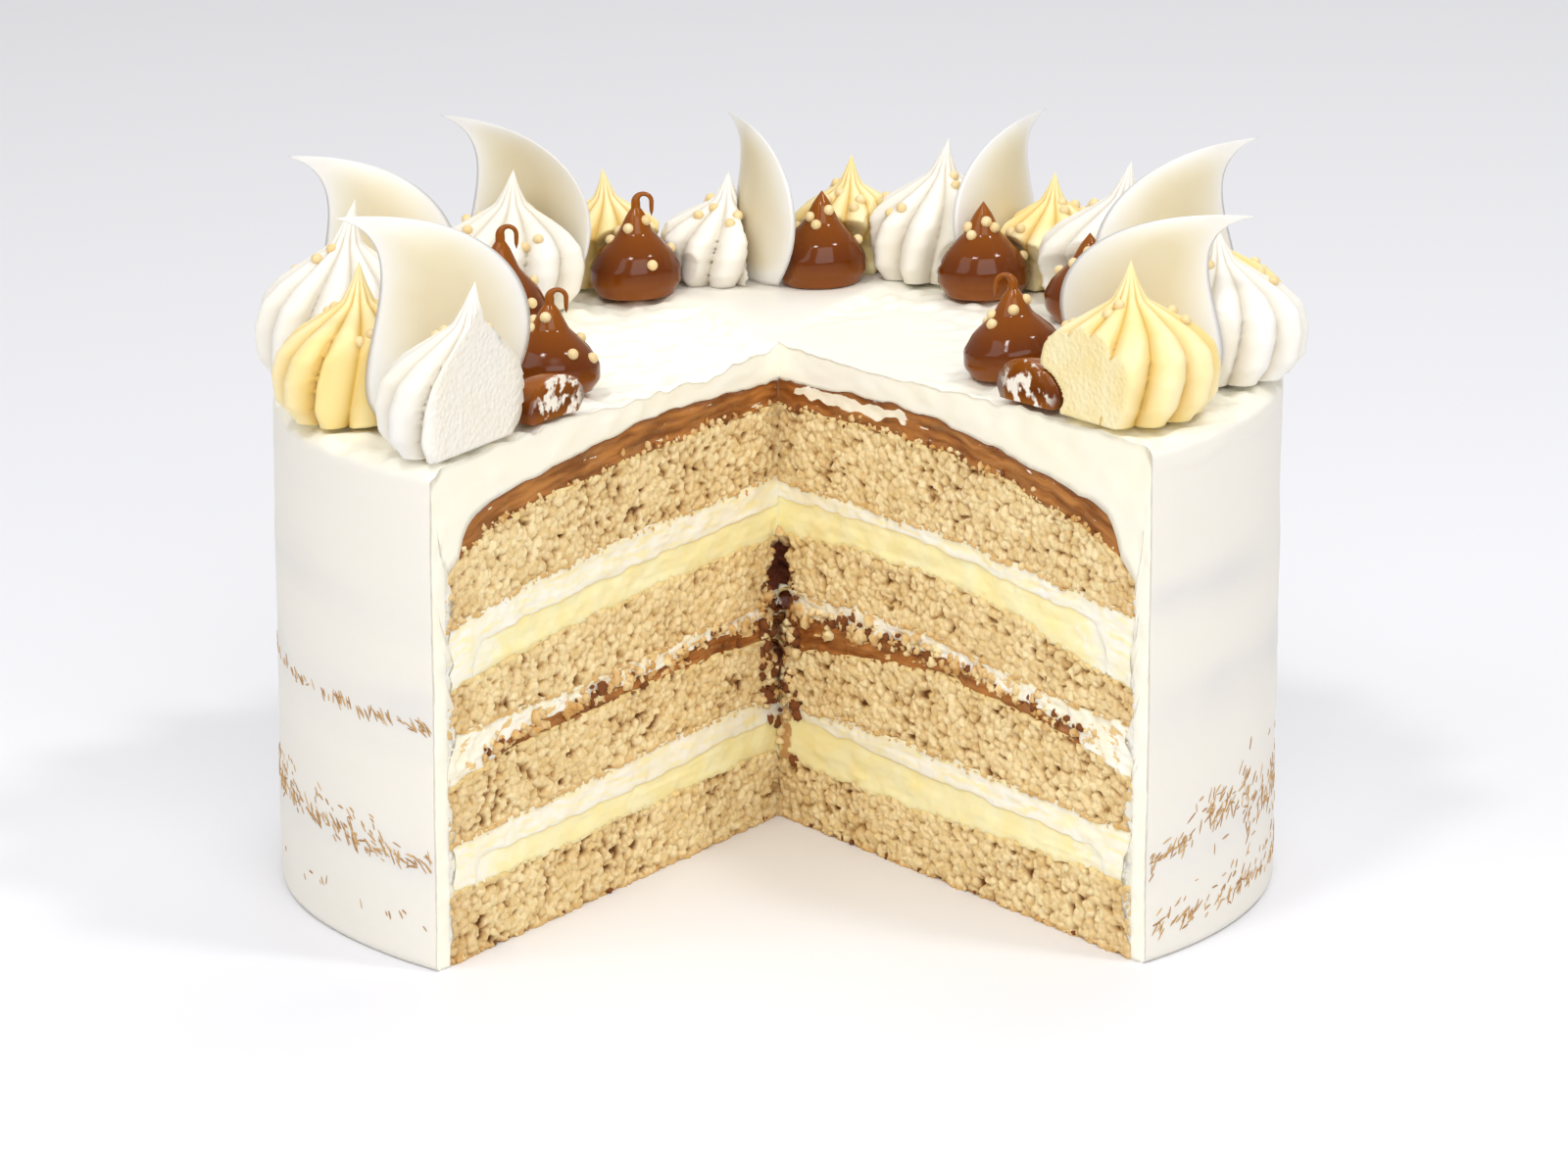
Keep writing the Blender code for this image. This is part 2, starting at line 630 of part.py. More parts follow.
clear_scene()
cake = collection("layer_cake")
axis = bpy.data.objects.new("cake_axis", None)
axis.location = (0, AXIS_Y, 0)
cake.objects.link(axis)
layers(
    material("baked_sponge", SPONGE, 0.9),
    material("butter_cream", WHITE, 0.6),
    material("set_custard", CUSTARD, 0.4),
    material("soft_caramel", CARAMEL, 0.3),
)
icing_coat(material("side_icing", IVORY, 0.6))
toppings()
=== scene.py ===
"""A tall layer cake with one wedge cut out: torn sponge, custard, cream and caramel at the cut, a thin coat
of icing with crumbs showing through, and on top piped kisses, gold pearls and white chocolate petals."""

import math

import bpy
import bmesh
import numpy as np
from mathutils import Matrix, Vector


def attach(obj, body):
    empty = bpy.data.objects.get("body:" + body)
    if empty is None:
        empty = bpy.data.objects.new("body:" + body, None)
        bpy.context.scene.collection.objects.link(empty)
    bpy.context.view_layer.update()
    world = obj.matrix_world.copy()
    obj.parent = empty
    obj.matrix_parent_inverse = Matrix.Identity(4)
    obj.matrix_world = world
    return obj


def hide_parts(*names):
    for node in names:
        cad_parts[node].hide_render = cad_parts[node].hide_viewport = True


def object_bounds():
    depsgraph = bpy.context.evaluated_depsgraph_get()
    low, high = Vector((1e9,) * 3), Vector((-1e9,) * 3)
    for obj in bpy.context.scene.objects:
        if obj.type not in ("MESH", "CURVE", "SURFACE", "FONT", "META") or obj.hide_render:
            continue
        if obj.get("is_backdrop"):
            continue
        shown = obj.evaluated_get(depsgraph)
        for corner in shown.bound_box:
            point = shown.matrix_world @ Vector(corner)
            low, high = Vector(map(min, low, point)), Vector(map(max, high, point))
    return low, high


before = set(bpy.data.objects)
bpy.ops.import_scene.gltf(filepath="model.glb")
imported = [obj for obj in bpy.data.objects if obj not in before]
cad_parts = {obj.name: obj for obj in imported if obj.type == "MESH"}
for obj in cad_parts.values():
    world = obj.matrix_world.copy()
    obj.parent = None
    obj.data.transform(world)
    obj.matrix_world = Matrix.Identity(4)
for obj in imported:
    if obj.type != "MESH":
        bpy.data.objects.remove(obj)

cad_low, cad_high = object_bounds()
MM = 0.001

# The view: a long lens, a little above the top of the cake, looking straight into the cut.
CAMERA_PLACE = (1.4 * MM, -1244.4 * MM, 371.1 * MM)
CAMERA_DROP = math.radians(14.263)
LENS = 141.15
camera_data = bpy.data.cameras.new("camera")
camera_data.lens = LENS
camera_data.sensor_width = 36
camera_data.clip_end = 20
camera = bpy.data.objects.new("camera", camera_data)
camera.location = CAMERA_PLACE
camera.rotation_euler = (math.pi / 2 - CAMERA_DROP, 0, 0)
bpy.context.scene.collection.objects.link(camera)
bpy.context.scene.camera = camera


# The table and the light: a plain near-white table top in a white room, with large soft lights from the
# left, the front and the back so that shadows stay faint, and two small lamps that put bright points on
# what is glossy.
def linear(code):
    """The linear colour of an sRGB hex value."""
    channels = np.array([int(code[k : k + 2], 16) for k in (0, 2, 4)]) / 255
    value = np.where(channels <= 0.04045, channels / 12.92, ((channels + 0.055) / 1.055) ** 2.4)
    return (*value, 1.0)


def fill(node, links):
    """Sets a node's inputs: each to a plain value, an sRGB hex colour, or what another node gives."""
    for key, value in links.items():
        if isinstance(value, bpy.types.Node):
            value = next(given for given in value.outputs if given.enabled)
        if isinstance(value, bpy.types.NodeSocket):
            node.id_data.links.new(value, node.inputs[key])
        else:
            node.inputs[key].default_value = linear(value) if isinstance(value, str) else value
    return node


def add(tree, kind, links=None, **settings):
    """Adds a node with its own properties, the settings, and its inputs, the links."""
    made = tree.nodes.new("ShaderNode" + kind)
    for name, value in settings.items():
        setattr(made, name, value)
    return fill(made, links or {})


def blank(name):
    """A new material, its node tree, and the shader that its surface shows."""
    made = bpy.data.materials.new(name)
    made.use_nodes = True
    made.node_tree.nodes.clear()
    shader = add(made.node_tree, "BsdfPrincipled")
    add(made.node_tree, "OutputMaterial", {"Surface": shader})
    return made, made.node_tree, shader


TABLE_HALF = 3.0
painted, _, shader = blank("matt_painted_board")
fill(shader, {"Base Color": "EDEDF1", "Roughness": 0.6})
table_mesh = bpy.data.meshes.new("table")
corners = [(x * TABLE_HALF, y * TABLE_HALF, 0) for x, y in ((-1, -1), (1, -1), (1, 1), (-1, 1))]
table_mesh.from_pydata(corners, [], [(0, 1, 2, 3)])
table_mesh.materials.append(painted)
table = bpy.data.objects.new("table", table_mesh)
bpy.context.scene.collection.objects.link(table)
table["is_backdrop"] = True

world = bpy.data.worlds.new("white_room")
world.use_nodes = True
world.node_tree.nodes["Background"].inputs["Color"].default_value = linear("FFFFFF")
world.node_tree.nodes["Background"].inputs["Strength"].default_value = 0.44
bpy.context.scene.world = world

# Each light: name, place in metres, width in metres, watts.
LIGHTS = (
    ("window_left", (-1.4, -0.9, 1.5), 1.1, 8),
    ("sheet_front", (0.3, -1.7, 1.25), 1.4, 18.5),
    ("sheet_back", (0.3, 1.3, 1.7), 1.4, 10),
    ("lamp_left", (-0.45, -0.75, 1.5), 0.2, 5),
    ("lamp_right", (0.7, -0.35, 1.4), 0.2, 5),
)
# Each light faces this point, a little over the middle of the table.
LIT_POINT = np.array([0, 0, 0.06])
for name, stands, width, watts in LIGHTS:
    light_data = bpy.data.lights.new(name, "AREA")
    light_data.size = width
    light_data.energy = watts
    light = bpy.data.objects.new(name, light_data)
    light.location = stands
    towards = LIT_POINT - np.array(stands)
    flat_run = math.hypot(towards[0], towards[1])
    turned = math.atan2(towards[1], towards[0]) - math.pi / 2
    light.rotation_euler = (math.atan2(flat_run, -towards[2]), 0, turned)
    bpy.context.scene.collection.objects.link(light)
bpy.context.scene.view_settings.view_transform = "Standard"


# The four sponges: light butter sponge, torn by the knife into small rounded lumps with dark gaps between
# them, and toasted where it lay against the tin. The cake's axis lies a little in front of the middle of
# its box.
AXIS_Y = -12.8 * MM
CAKE_RADIUS = 103.5 * MM
INSIDE_RADIUS = 99 * MM
APEX = np.array([0.2, 31.0]) * MM
RIM_ENDS = np.radians([-45.5, 229.85])
FACE_STEP = 0.26 * MM
TURNS = 18
CUT_LENGTH = 124.3
# Heights in mm where layers meet, at these distances along the right and the left cut.
KNOTS = np.array([5, 30, 58, 85, 108, 118, 124.3]) / CUT_LENGTH
MEETINGS = {
    "board": ((0, 0, 0, 0, 0, 0, 0), (0, 0, 0, 0, 0, 0, 0)),
    "on_sponge_1": ((13.4, 13.6, 14.0, 14.6, 15.2, 15.3, 15.4), (15.0, 15.2, 15.2, 14.8, 14.6, 14.9, 15.3)),
    "on_custard_1": ((23.4, 22.6, 21.8, 21.0, 20.5, 20.3, 20.2), (22.2, 21.2, 20.2, 19.8, 20.2, 20.3, 20.4)),
    "under_sponge_2": (
        (25.2, 26.2, 26.4, 26.2, 25.8, 25.6, 25.6),
        (26.4, 26.6, 26.1, 25.4, 24.6, 24.3, 24.0),
    ),
    "on_sponge_2": ((37.8, 42.0, 44.4, 42.6, 40.0, 38.0, 36.2), (40.0, 41.3, 40.8, 40.5, 38.6, 37.4, 36.6)),
    "on_caramel_mid": (
        (45.4, 47.6, 47.8, 45.6, 42.6, 40.6, 39.0),
        (45.0, 44.9, 43.4, 43.2, 41.4, 40.0, 39.0),
    ),
    "under_sponge_3": (
        (49.8, 51.6, 51.2, 49.0, 47.3, 47.2, 47.2),
        (47.7, 47.2, 45.8, 46.2, 46.7, 46.5, 46.3),
    ),
    "on_sponge_3": ((62.6, 64.9, 64.4, 61.8, 57.6, 55.8, 54.5), (61.5, 61.4, 60.9, 59.6, 57.4, 56.4, 55.6)),
    "on_custard_2": ((70.4, 71.2, 70.5, 68.9, 66.8, 65.4, 64.4), (68.6, 67.9, 67.2, 66.0, 64.4, 63.4, 62.6)),
    "under_sponge_4": (
        (73.9, 73.7, 73.2, 71.8, 70.6, 69.9, 69.3),
        (74.3, 73.8, 73.2, 72.0, 69.8, 68.6, 67.6),
    ),
    "on_sponge_4": ((90.2, 91.4, 91.4, 88.6, 84.6, 81.4, 77.2), (90.2, 90.6, 90.2, 88.4, 86.0, 82.6, 78.2)),
    "on_caramel_top": (
        (95.8, 97.4, 97.2, 94.2, 90.4, 87.4, 84.0),
        (95.4, 96.8, 96.2, 93.8, 91.2, 88.2, 85.0),
    ),
}


def smooth(share):
    """Three times the square less twice the cube, between 0 and 1."""
    share = np.clip(share, 0, 1)
    return share * share * (3 - 2 * share)


def scatter(cells, seed):
    """A repeatable number from 0 to 1 for each whole-numbered cell: what is left of a large sine after the
    point."""
    weights = np.array([127.1, 311.7, 74.7])[: cells.shape[-1]]
    large = np.sin(cells @ weights + seed * 19.19) * 43758.5453
    return large - np.floor(large)


def noise(points, seed):
    """Smooth noise from -1 to 1: random numbers at whole-numbered corners, blended between them."""
    base = np.floor(points)
    part = smooth(points - base)
    total = np.zeros(points.shape[:-1])
    for corner in np.ndindex(*(2,) * points.shape[-1]):
        corner = np.array(corner)
        weight = np.prod(np.where(corner == 1, part, 1 - part), axis=-1)
        total += weight * scatter(base + corner, seed)
    return 2 * total - 1


def lumps(points, seed):
    """The top of a heap of round lumps, one in each cell, each at its own place and height: the highest of
    the lumps' heights less their distances squared. Also a number from 0 to 1 for the lump on top."""
    base = np.floor(points)
    top = np.full(points.shape[:-1], -9.0)
    tone = np.zeros(points.shape[:-1])
    for step in np.ndindex(3, 3):
        cell = base + np.array(step) - 1
        middle = cell + np.stack([scatter(cell, seed), scatter(cell, seed + 5)], axis=-1)
        height = 0.55 * scatter(cell, seed + 9) - 1.5 * np.sum((points - middle) ** 2, axis=-1)
        tone = np.where(height > top, scatter(cell, seed + 13), tone)
        top = np.maximum(top, height)
    return top, tone


def meeting(name, turn, share):
    """Height of a named meeting of layers, from the right cut (turn 0) round to the left (turn 1)."""
    right, left = MEETINGS[name]
    at_right, at_left = np.interp(share, KNOTS, right), np.interp(share, KNOTS, left)
    height = at_right * (1 - smooth(turn)) + at_left * smooth(turn)
    if name == "board":
        return height * MM
    seed = list(MEETINGS).index(name)
    where = np.stack([share * CUT_LENGTH, turn * 40 + 0 * share], axis=-1)
    uneven = 0.45 * noise(where / 7, seed) + 0.3 * noise(where / 2.4, seed + 40)
    return (height + uneven) * MM


def rays(turn):
    """Unit directions from the wedge's point, evenly spread round the rim from the right cut to the
    left."""
    angle = RIM_ENDS[0] + (RIM_ENDS[1] - RIM_ENDS[0]) * turn
    across = CAKE_RADIUS * np.stack([np.cos(angle), np.sin(angle)], axis=-1) - APEX
    return across / np.linalg.norm(across, axis=-1, keepdims=True)


def place(turn, share, height, radius):
    """Points at a share of the way from the wedge's point to a circle of this radius about the cake's
    axis."""
    turn, share, height, radius = np.broadcast_arrays(turn, share, height, radius)
    way = rays(turn)
    across = way @ APEX
    reach = -across + np.sqrt(across**2 - APEX @ APEX + radius**2)
    flat = APEX + way * (reach * share)[..., None]
    return np.stack([flat[..., 0], flat[..., 1] + AXIS_Y, height], axis=-1)


def inwards(turn):
    """The direction into the cake, square to the cut face at turn 0 or 1."""
    way = rays(np.array(float(turn)))
    side = np.array([-way[1], way[0], 0])
    return side if turn == 0 else -side


def surface(name, grids, finish, notes=()):
    """A closed mesh from grids of points, rows by columns, joined where their edges meet. Notes are (name,
    one array of numbers for each grid) and are kept on the points for the material to read."""
    points = np.concatenate([grid.reshape(-1, 3) for grid in grids])
    quads = []
    start = 0
    for grid in grids:
        rows, columns = grid.shape[:2]
        index = start + np.arange(rows * columns).reshape(rows, columns)
        quad = (index[:-1, :-1], index[:-1, 1:], index[1:, 1:], index[1:, :-1])
        quads.append(np.stack([corner.ravel() for corner in quad], axis=-1))
        start += rows * columns
    quads = np.concatenate(quads)
    mesh = bpy.data.meshes.new(name)
    mesh.vertices.add(len(points))
    mesh.vertices.foreach_set("co", points.astype(np.float32).ravel())
    mesh.loops.add(quads.size)
    mesh.loops.foreach_set("vertex_index", quads.astype(np.int32).ravel())
    mesh.polygons.add(len(quads))
    mesh.polygons.foreach_set("loop_start", np.arange(0, quads.size, 4, dtype=np.int32))
    mesh.update(calc_edges=True)
    for note, values in notes:
        numbers = np.concatenate([np.broadcast_to(v, g.shape[:2]).ravel() for v, g in zip(values, grids)])
        mesh.attributes.new(note, "FLOAT", "POINT").data.foreach_set("value", numbers.astype(np.float32))
    shell = bmesh.new()
    shell.from_mesh(mesh)
    bmesh.ops.remove_doubles(shell, verts=shell.verts, dist=1e-6)
    bmesh.ops.recalc_face_normals(shell, faces=shell.faces)
    shell.to_mesh(mesh)
    shell.free()
    mesh.materials.append(finish)
    mesh.shade_smooth()
    made = bpy.data.objects.new(name, mesh)
    bpy.context.scene.collection.objects.link(made)
    return made


def cavern(along, height):
    """How deep the torn hollow at the wedge's point is: a ragged crack from the lowest to the third sponge,
    up to 6 mm deep between the second and the third, whose width and depth change with height."""
    level_mm = height / MM
    tall = np.exp(-(((level_mm - 46) / 14) ** 4)) + 0.15 * np.exp(-(((level_mm - 89) / 5) ** 2))
    along_mm = along / MM
    where = np.stack([along_mm, level_mm], axis=-1)
    wide = 1.7 + 1.2 * noise(where[..., 1:] / 2.4, 31) + 1.6 * np.exp(-(((level_mm - 47) / 4) ** 2))
    ragged = 0.6 + 0.5 * noise(where / 2.2, 37) + 0.25 * noise(where / 0.9, 39)
    return 6.0 * MM * tall * np.clip(ragged, 0, 1) * np.exp(-((along_mm / wide) ** 2))


def slab(name, floor, roof, end, depth_of, finish, step=FACE_STEP):
    """A layer between two heights, each a function of turn and share, out to its end share. Its two cut
    faces are pushed in by depth_of(distance along, height, side), and the hollow at the wedge's point is
    taken out."""
    share = np.linspace(0, end, int(end * CUT_LENGTH * MM / step) + 1)
    tall = float(np.max(roof(0.0, share) - floor(0.0, share)))
    up = np.linspace(0, 1, max(int(tall / step), 3) + 1)
    faces = []
    kept = {name: [] for name in ("depth", "tone", "cave", "along", "over_floor", "under_roof", "side")}
    for side in (0, 1):
        low = floor(float(side), share)[:, None]
        high = roof(float(side), share)[:, None]
        height = low + (high - low) * up
        along = (share * CUT_LENGTH * MM)[:, None] + 0 * height
        depth, tone = depth_of(along, height, side)
        hollow = cavern(along, height)
        pushed = depth + hollow
        kept["depth"].append(depth / MM)
        kept["tone"].append(tone)
        kept["cave"].append(np.clip(hollow / (3 * MM), 0, 1))
        kept["along"].append(along / MM)
        kept["over_floor"].append((height - low) / MM)
        kept["under_roof"].append((high - height) / MM)
        kept["side"].append(np.full(depth.shape, float(side)))
        point = place(float(side), share[:, None], height, INSIDE_RADIUS)
        lead = smooth(along / (1.5 * MM))[..., None]
        way = lead * inwards(side) + (1 - lead) * np.array([0, 1, 0])
        if side == 1:
            pushed[0] = first_push
        first_push = pushed[0]
        faces.append(point + way * pushed[..., None])
    turn = np.linspace(0, 1, TURNS + 1)
    caps = []
    for row, edge in ((roof, -1), (floor, 0)):
        height = row(turn[:, None] + 0 * share, share + 0 * turn[:, None])
        cap = place(turn[:, None], share, height, INSIDE_RADIUS)
        cap += ((1 - turn) ** 8)[:, None, None] * (faces[0][:, edge] - cap[0])
        cap += (turn**8)[:, None, None] * (faces[1][:, edge] - cap[-1])
        cap[0], cap[-1] = faces[0][:, edge], faces[1][:, edge]
        cap[:, 0] = faces[0][0, edge]
        caps.append(cap)
    mix = up[None, :, None]
    wall = caps[1][:, -1][:, None] * (1 - mix) + caps[0][:, -1][:, None] * mix
    wall[0], wall[-1] = faces[0][-1], faces[1][-1]
    faces[1][0] = faces[0][0]
    grids = [*faces, *caps, wall]
    settle(surface(name, grids, finish, [(n, [*v, 0.0, 0.0, 0.0]) for n, v in kept.items()]), name)


def torn(along, height, side):
    """Depth of torn sponge, and a tone for each lump: flattened lumps 1.9 mm and 0.9 mm wide, slow
    unevenness, and holes here and there."""
    where = np.stack([along, height * 1.2], axis=-1) / MM
    where = where + 0.5 * np.stack([noise(where / 1.5, 3 + side), noise(where / 1.5, 7 + side)], axis=-1)
    coarse, tone = lumps(where / 1.9, 11 + side)
    fine, _ = lumps(where / 0.9, 17 + side)
    slow = noise(where / 9, 23 + side) + 0.6 * noise(where / 3.5, 25 + side)
    hole = smooth((noise(where / 2.1, 29 + side) - 0.55) / 0.25)
    return (0.05 - 0.9 * coarse - 0.3 * fine + 0.25 * slow + 0.8 * hole) * MM, tone


def seen_into(weight, colours, deep):
    """A shader's inputs for food that light enters a little: how much of it, how far for each colour, depth
    in mm."""
    return {"Subsurface Weight": weight, "Subsurface Radius": colours, "Subsurface Scale": deep * MM}


# A noise's scale is in waves per metre: 900 is for grains of about 1.1 mm, 420 for ragged edges of 2.4 mm.
sponge, tree, shader = blank("butter_sponge")
at = add(tree, "TexCoord").outputs["Object"]
marks = {
    name: add(tree, "Attribute", attribute_name=name).outputs["Fac"]
    for name in ("depth", "tone", "cave", "over_floor", "under_roof", "along")
}
fleck = add(tree, "TexNoise", {"Vector": at, "Scale": 900.0, "Detail": 3.0})
patch = add(tree, "TexNoise", {"Vector": at, "Scale": 80.0, "Detail": 3.0})
rag = add(tree, "TexNoise", {"Vector": at, "Scale": 420.0, "Detail": 3.0})
speck = add(tree, "MapRange", {"Value": fleck, "From Min": 0.45, "From Max": 0.7, "To Max": 0.55})
stain = add(tree, "MapRange", {"Value": patch, "From Min": 0.5, "From Max": 0.75, "To Max": 0.45})
ends = {"Value": marks["along"], "From Min": 112.0, "From Max": 124.0, "To Max": 0.4}
outer_end = add(tree, "MapRange", ends)
crust_edge = add(tree, "Math", {0: rag, 1: 2.6}, operation="MULTIPLY")
crust_near = add(tree, "Math", {0: crust_edge, 1: marks["over_floor"]}, operation="SUBTRACT")
crust_part = add(tree, "MapRange", {"Value": crust_near, "From Max": 0.9, "To Max": 0.6})
soak_near = add(tree, "Math", {0: crust_edge, 1: marks["under_roof"]}, operation="SUBTRACT")
soak_part = add(tree, "MapRange", {"Value": soak_near, "From Max": 0.9, "To Max": 0.5})
# Darker the deeper the torn surface lies, down to dark brown in the deepest gaps and holes: painted shade
# between and under the lumps.
low = add(tree, "MapRange", {"Value": marks["depth"], "From Min": 0.1, "From Max": 0.75, "To Max": 0.75})
pore = add(tree, "MapRange", {"Value": marks["depth"], "From Min": 0.7, "From Max": 1.2})
# Dark brown in the torn hollow at the wedge's point, darker the deeper it goes: partly caramel and dark
# crumbs lodged there, partly painted shade of the hollow.
dark = add(tree, "MapRange", {"Value": marks["cave"], "From Min": 0.15, "From Max": 0.6})
under_knife = ((speck, "F8E8BE"), (stain, "CDA763"), (outer_end, "C2914E"), (crust_part, "CF9E55"))
soak_and_painted_shade = ((soak_part, "EBD08C"), (low, "B08345"), (pore, "75491F"), (dark, "6E3519"))
tint = "DCBE83"
for share, over in ((marks["tone"], "F0DCAB"), *under_knife, *soak_and_painted_shade):
    tint = add(tree, "Mix", {0: share, 6: tint, 7: over}, data_type="RGBA")
grain = add(tree, "Bump", {"Height": fleck, "Strength": 0.4, "Distance": 0.3 * MM})
fill(shader, {"Base Color": tint, "Roughness": 0.9, "Normal": grain, **seen_into(0.15, (1.0, 0.6, 0.3), 1.2)})


def level(name):
    """The named meeting as a function of turn and share alone."""
    return lambda turn, share: meeting(name, turn, share)


def settle(piece, node=None):
    """Lets a piece ride on the cake, and stand for a node of the frame if it has one."""
    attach(piece, "root")
    if node:
        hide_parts(node)


SPONGES = (
    ("sponge_1", "board", "on_sponge_1"),
    ("sponge_2", "under_sponge_2", "on_sponge_2"),
    ("sponge_3", "under_sponge_3", "on_sponge_3"),
    ("sponge_4", "under_sponge_4", "on_sponge_4"),
)
for name, under, over in SPONGES:
    slab(name, level(under), level(over), 1.0, torn, sponge)


# The custards: set egg custard, smooth and faintly wet, pale yellow, dragged a little by the knife and
# soaking into the sponge below. Each stops short of the rim in a rounded end.
FILLING_END = 0.925
LAP = 0.6 * MM


def filled(under, over, end):
    """Height of a filling's top: between two meetings, closing to the lower one in a quarter round at its
    end."""

    def height(turn, share):
        low = meeting(under, turn, share)
        left = np.clip((end - share) * CUT_LENGTH / 5.0, 0, 1)
        return low + (meeting(over, turn, share) - low) * np.sqrt(1 - (1 - left) ** 2)

    return height


def lapped(height, lift):
    """The same height moved by a little, so that soft fillings fill the torn edge of the sponge beside
    them."""
    return lambda turn, share: height(turn, share) + lift


def dragged(sunk, rough, stain=0.0):
    """Depth of a soft filling at the cut, this far behind it in mm: drag lines along the knife's way, and
    dents. Also a tone: this much caramel has run down over the filling near the wedge's point."""

    def depth(along, height, side):
        where = np.stack([along, height], axis=-1) / MM
        lines = noise(where / np.array([14, 0.9]), 51 + side)
        dents = noise(where / np.array([5, 2.2]), 57 + side)
        tears = noise(where / np.array([1.7, 1.1]), 59 + side)
        run = smooth((6.5 + 3 * dents + 2 * tears - where[..., 0]) / 2.5) * (1 - 0.6 * side)
        return (sunk + 0.1 * lines + 0.25 * dents + rough * tears) * MM, stain * run

    return depth


custard, tree, shader = blank("egg_custard")
at = add(tree, "TexCoord").outputs["Object"]
marks = {
    name: add(tree, "Attribute", attribute_name=name).outputs["Fac"]
    for name in ("tone", "over_floor", "under_roof", "along")
}
cloud = add(tree, "TexNoise", {"Vector": at, "Scale": 150.0, "Detail": 3.0})
curd = add(tree, "TexNoise", {"Vector": at, "Scale": 900.0, "Detail": 2.0})
rag = add(tree, "TexNoise", {"Vector": at, "Scale": 420.0, "Detail": 3.0})
share = add(tree, "MapRange", {"Value": cloud, "From Min": 0.35, "From Max": 0.68})
# Darker yellow just under the layer above: painted shade under the cream's overhanging edge.
edge = {"Value": marks["under_roof"], "From Min": 0.9, "From Max": 0.2, "To Max": 0.6}
top_edge = add(tree, "MapRange", edge)
reach = add(tree, "Math", {0: rag, 1: 3.2, 2: -0.6}, operation="MULTIPLY_ADD")
near = add(tree, "Math", {0: reach, 1: marks["over_floor"]}, operation="SUBTRACT")
crumbed = add(tree, "MapRange", {"Value": near, "From Max": 0.5, "To Max": 0.55})
drip_rag = add(tree, "Math", {0: marks["tone"], 1: rag}, operation="MULTIPLY")
drip = add(tree, "MapRange", {"Value": drip_rag, "From Min": 0.3, "From Max": 0.48, "To Max": 0.8})
fade_near = add(tree, "MapRange", {"Value": marks["along"], "From Min": 92.0, "From Max": 116.0})
fade_rag = add(tree, "Math", {0: rag, 1: fade_near}, operation="ADD")
fade = add(tree, "MapRange", {"Value": fade_rag, "From Min": 1.0, "From Max": 1.4})
layers = ((share, "FFF7CC"), (top_edge, "F4D377"), (crumbed, "F0DBA0"), (fade, "FFF9E4"), (drip, "B97B3E"))
tint = "FFEFB2"
for share, over in layers:
    tint = add(tree, "Mix", {0: share, 6: tint, 7: over}, data_type="RGBA")
wet = add(tree, "Bump", {"Height": curd, "Strength": 0.15, "Distance": 0.3 * MM})
fill(shader, {"Base Color": tint, "Roughness": 0.36, "Normal": wet, **seen_into(0.35, (1.0, 0.7, 0.3), 2.5)})
CUSTARDS = (
    ("custard_1", "on_sponge_1", "on_custard_1", 1.0),
    ("custard_2", "on_sponge_3", "on_custard_2", 0.0),
)
for name, under, over, stain in CUSTARDS:
    floor = lapped(level(under), -LAP)
    roof = filled(under, over, FILLING_END)
    slab(name, floor, roof, FILLING_END, dragged(0.24, 0.1, stain), custard, 0.5 * MM)


# The caramels: thick boiled-milk caramel, brown and glossy. The middle one is a thin broken smear with
# crumbs and cream dragged through it. The top one lies over the domed top sponge and ends in a rounded lip
# under the icing.
CARAMEL_END = 0.86
CAP_END = 0.955


def boiled_caramel(name, smear_code, smear_from, smear_full, drawn_out):
    """Milk caramel drawn out along the layer, with smears of another food over it, wherever noise stretched
    the same way is high, and cream where the tone attribute is near 1."""
    made, tree, shader = blank(name)
    marks = {
        name: add(tree, "Attribute", attribute_name=name).outputs["Fac"]
        for name in ("tone", "over_floor", "under_roof", "along", "side")
    }
    way = add(tree, "CombineXYZ", {0: marks["along"], 1: marks["over_floor"], 2: marks["side"]})
    pulled = add(tree, "VectorMath", {0: way, 1: (0.07, 0.55, 9.0)}, operation="MULTIPLY")
    swirl = add(tree, "TexNoise", {"Vector": pulled, "Scale": 1.0, "Detail": 4.0})
    share = add(tree, "MapRange", {"Value": swirl, "From Min": 0.36, "From Max": 0.66})
    edge = {"Value": marks["under_roof"], "From Min": 1.2, "From Max": 0.0, "To Max": 0.55}
    top_edge = add(tree, "MapRange", edge)
    stretched = add(tree, "VectorMath", {0: way, 1: drawn_out}, operation="MULTIPLY")
    drawn = add(tree, "TexNoise", {"Vector": stretched, "Scale": 1.0, "Detail": 3.0, "Roughness": 0.6})
    smear = add(tree, "MapRange", {"Value": drawn, "From Min": smear_from, "From Max": smear_full})
    wisp = add(tree, "Math", {0: drawn, 1: 0.9, 2: marks["tone"]}, operation="MULTIPLY_ADD")
    streak = add(tree, "MapRange", {"Value": wisp, "From Min": 0.86, "From Max": 0.96})
    on = add(tree, "Math", {0: smear, 1: streak}, operation="MAXIMUM")
    layers = ((share, "BC7B3E"), (top_edge, "6B3413"), (smear, smear_code), (streak, "FAF1DC"))
    tint = "7A4118"
    for share, over in layers:
        tint = add(tree, "Mix", {0: share, 6: tint, 7: over}, data_type="RGBA")
    dull = add(tree, "MapRange", {"Value": on, "To Min": 0.2, "To Max": 0.7})
    pull = add(tree, "Bump", {"Height": swirl, "Strength": 0.3, "Distance": 0.8 * MM})
    over = add(tree, "Bump", {"Height": on, "Strength": 0.5, "Distance": 0.4 * MM, "Normal": pull})
    look = {"Base Color": tint, "Roughness": dull, "Normal": over}
    fill(shader, {**look, **seen_into(0.12, (1.0, 0.45, 0.15), 1.5)})
    return made


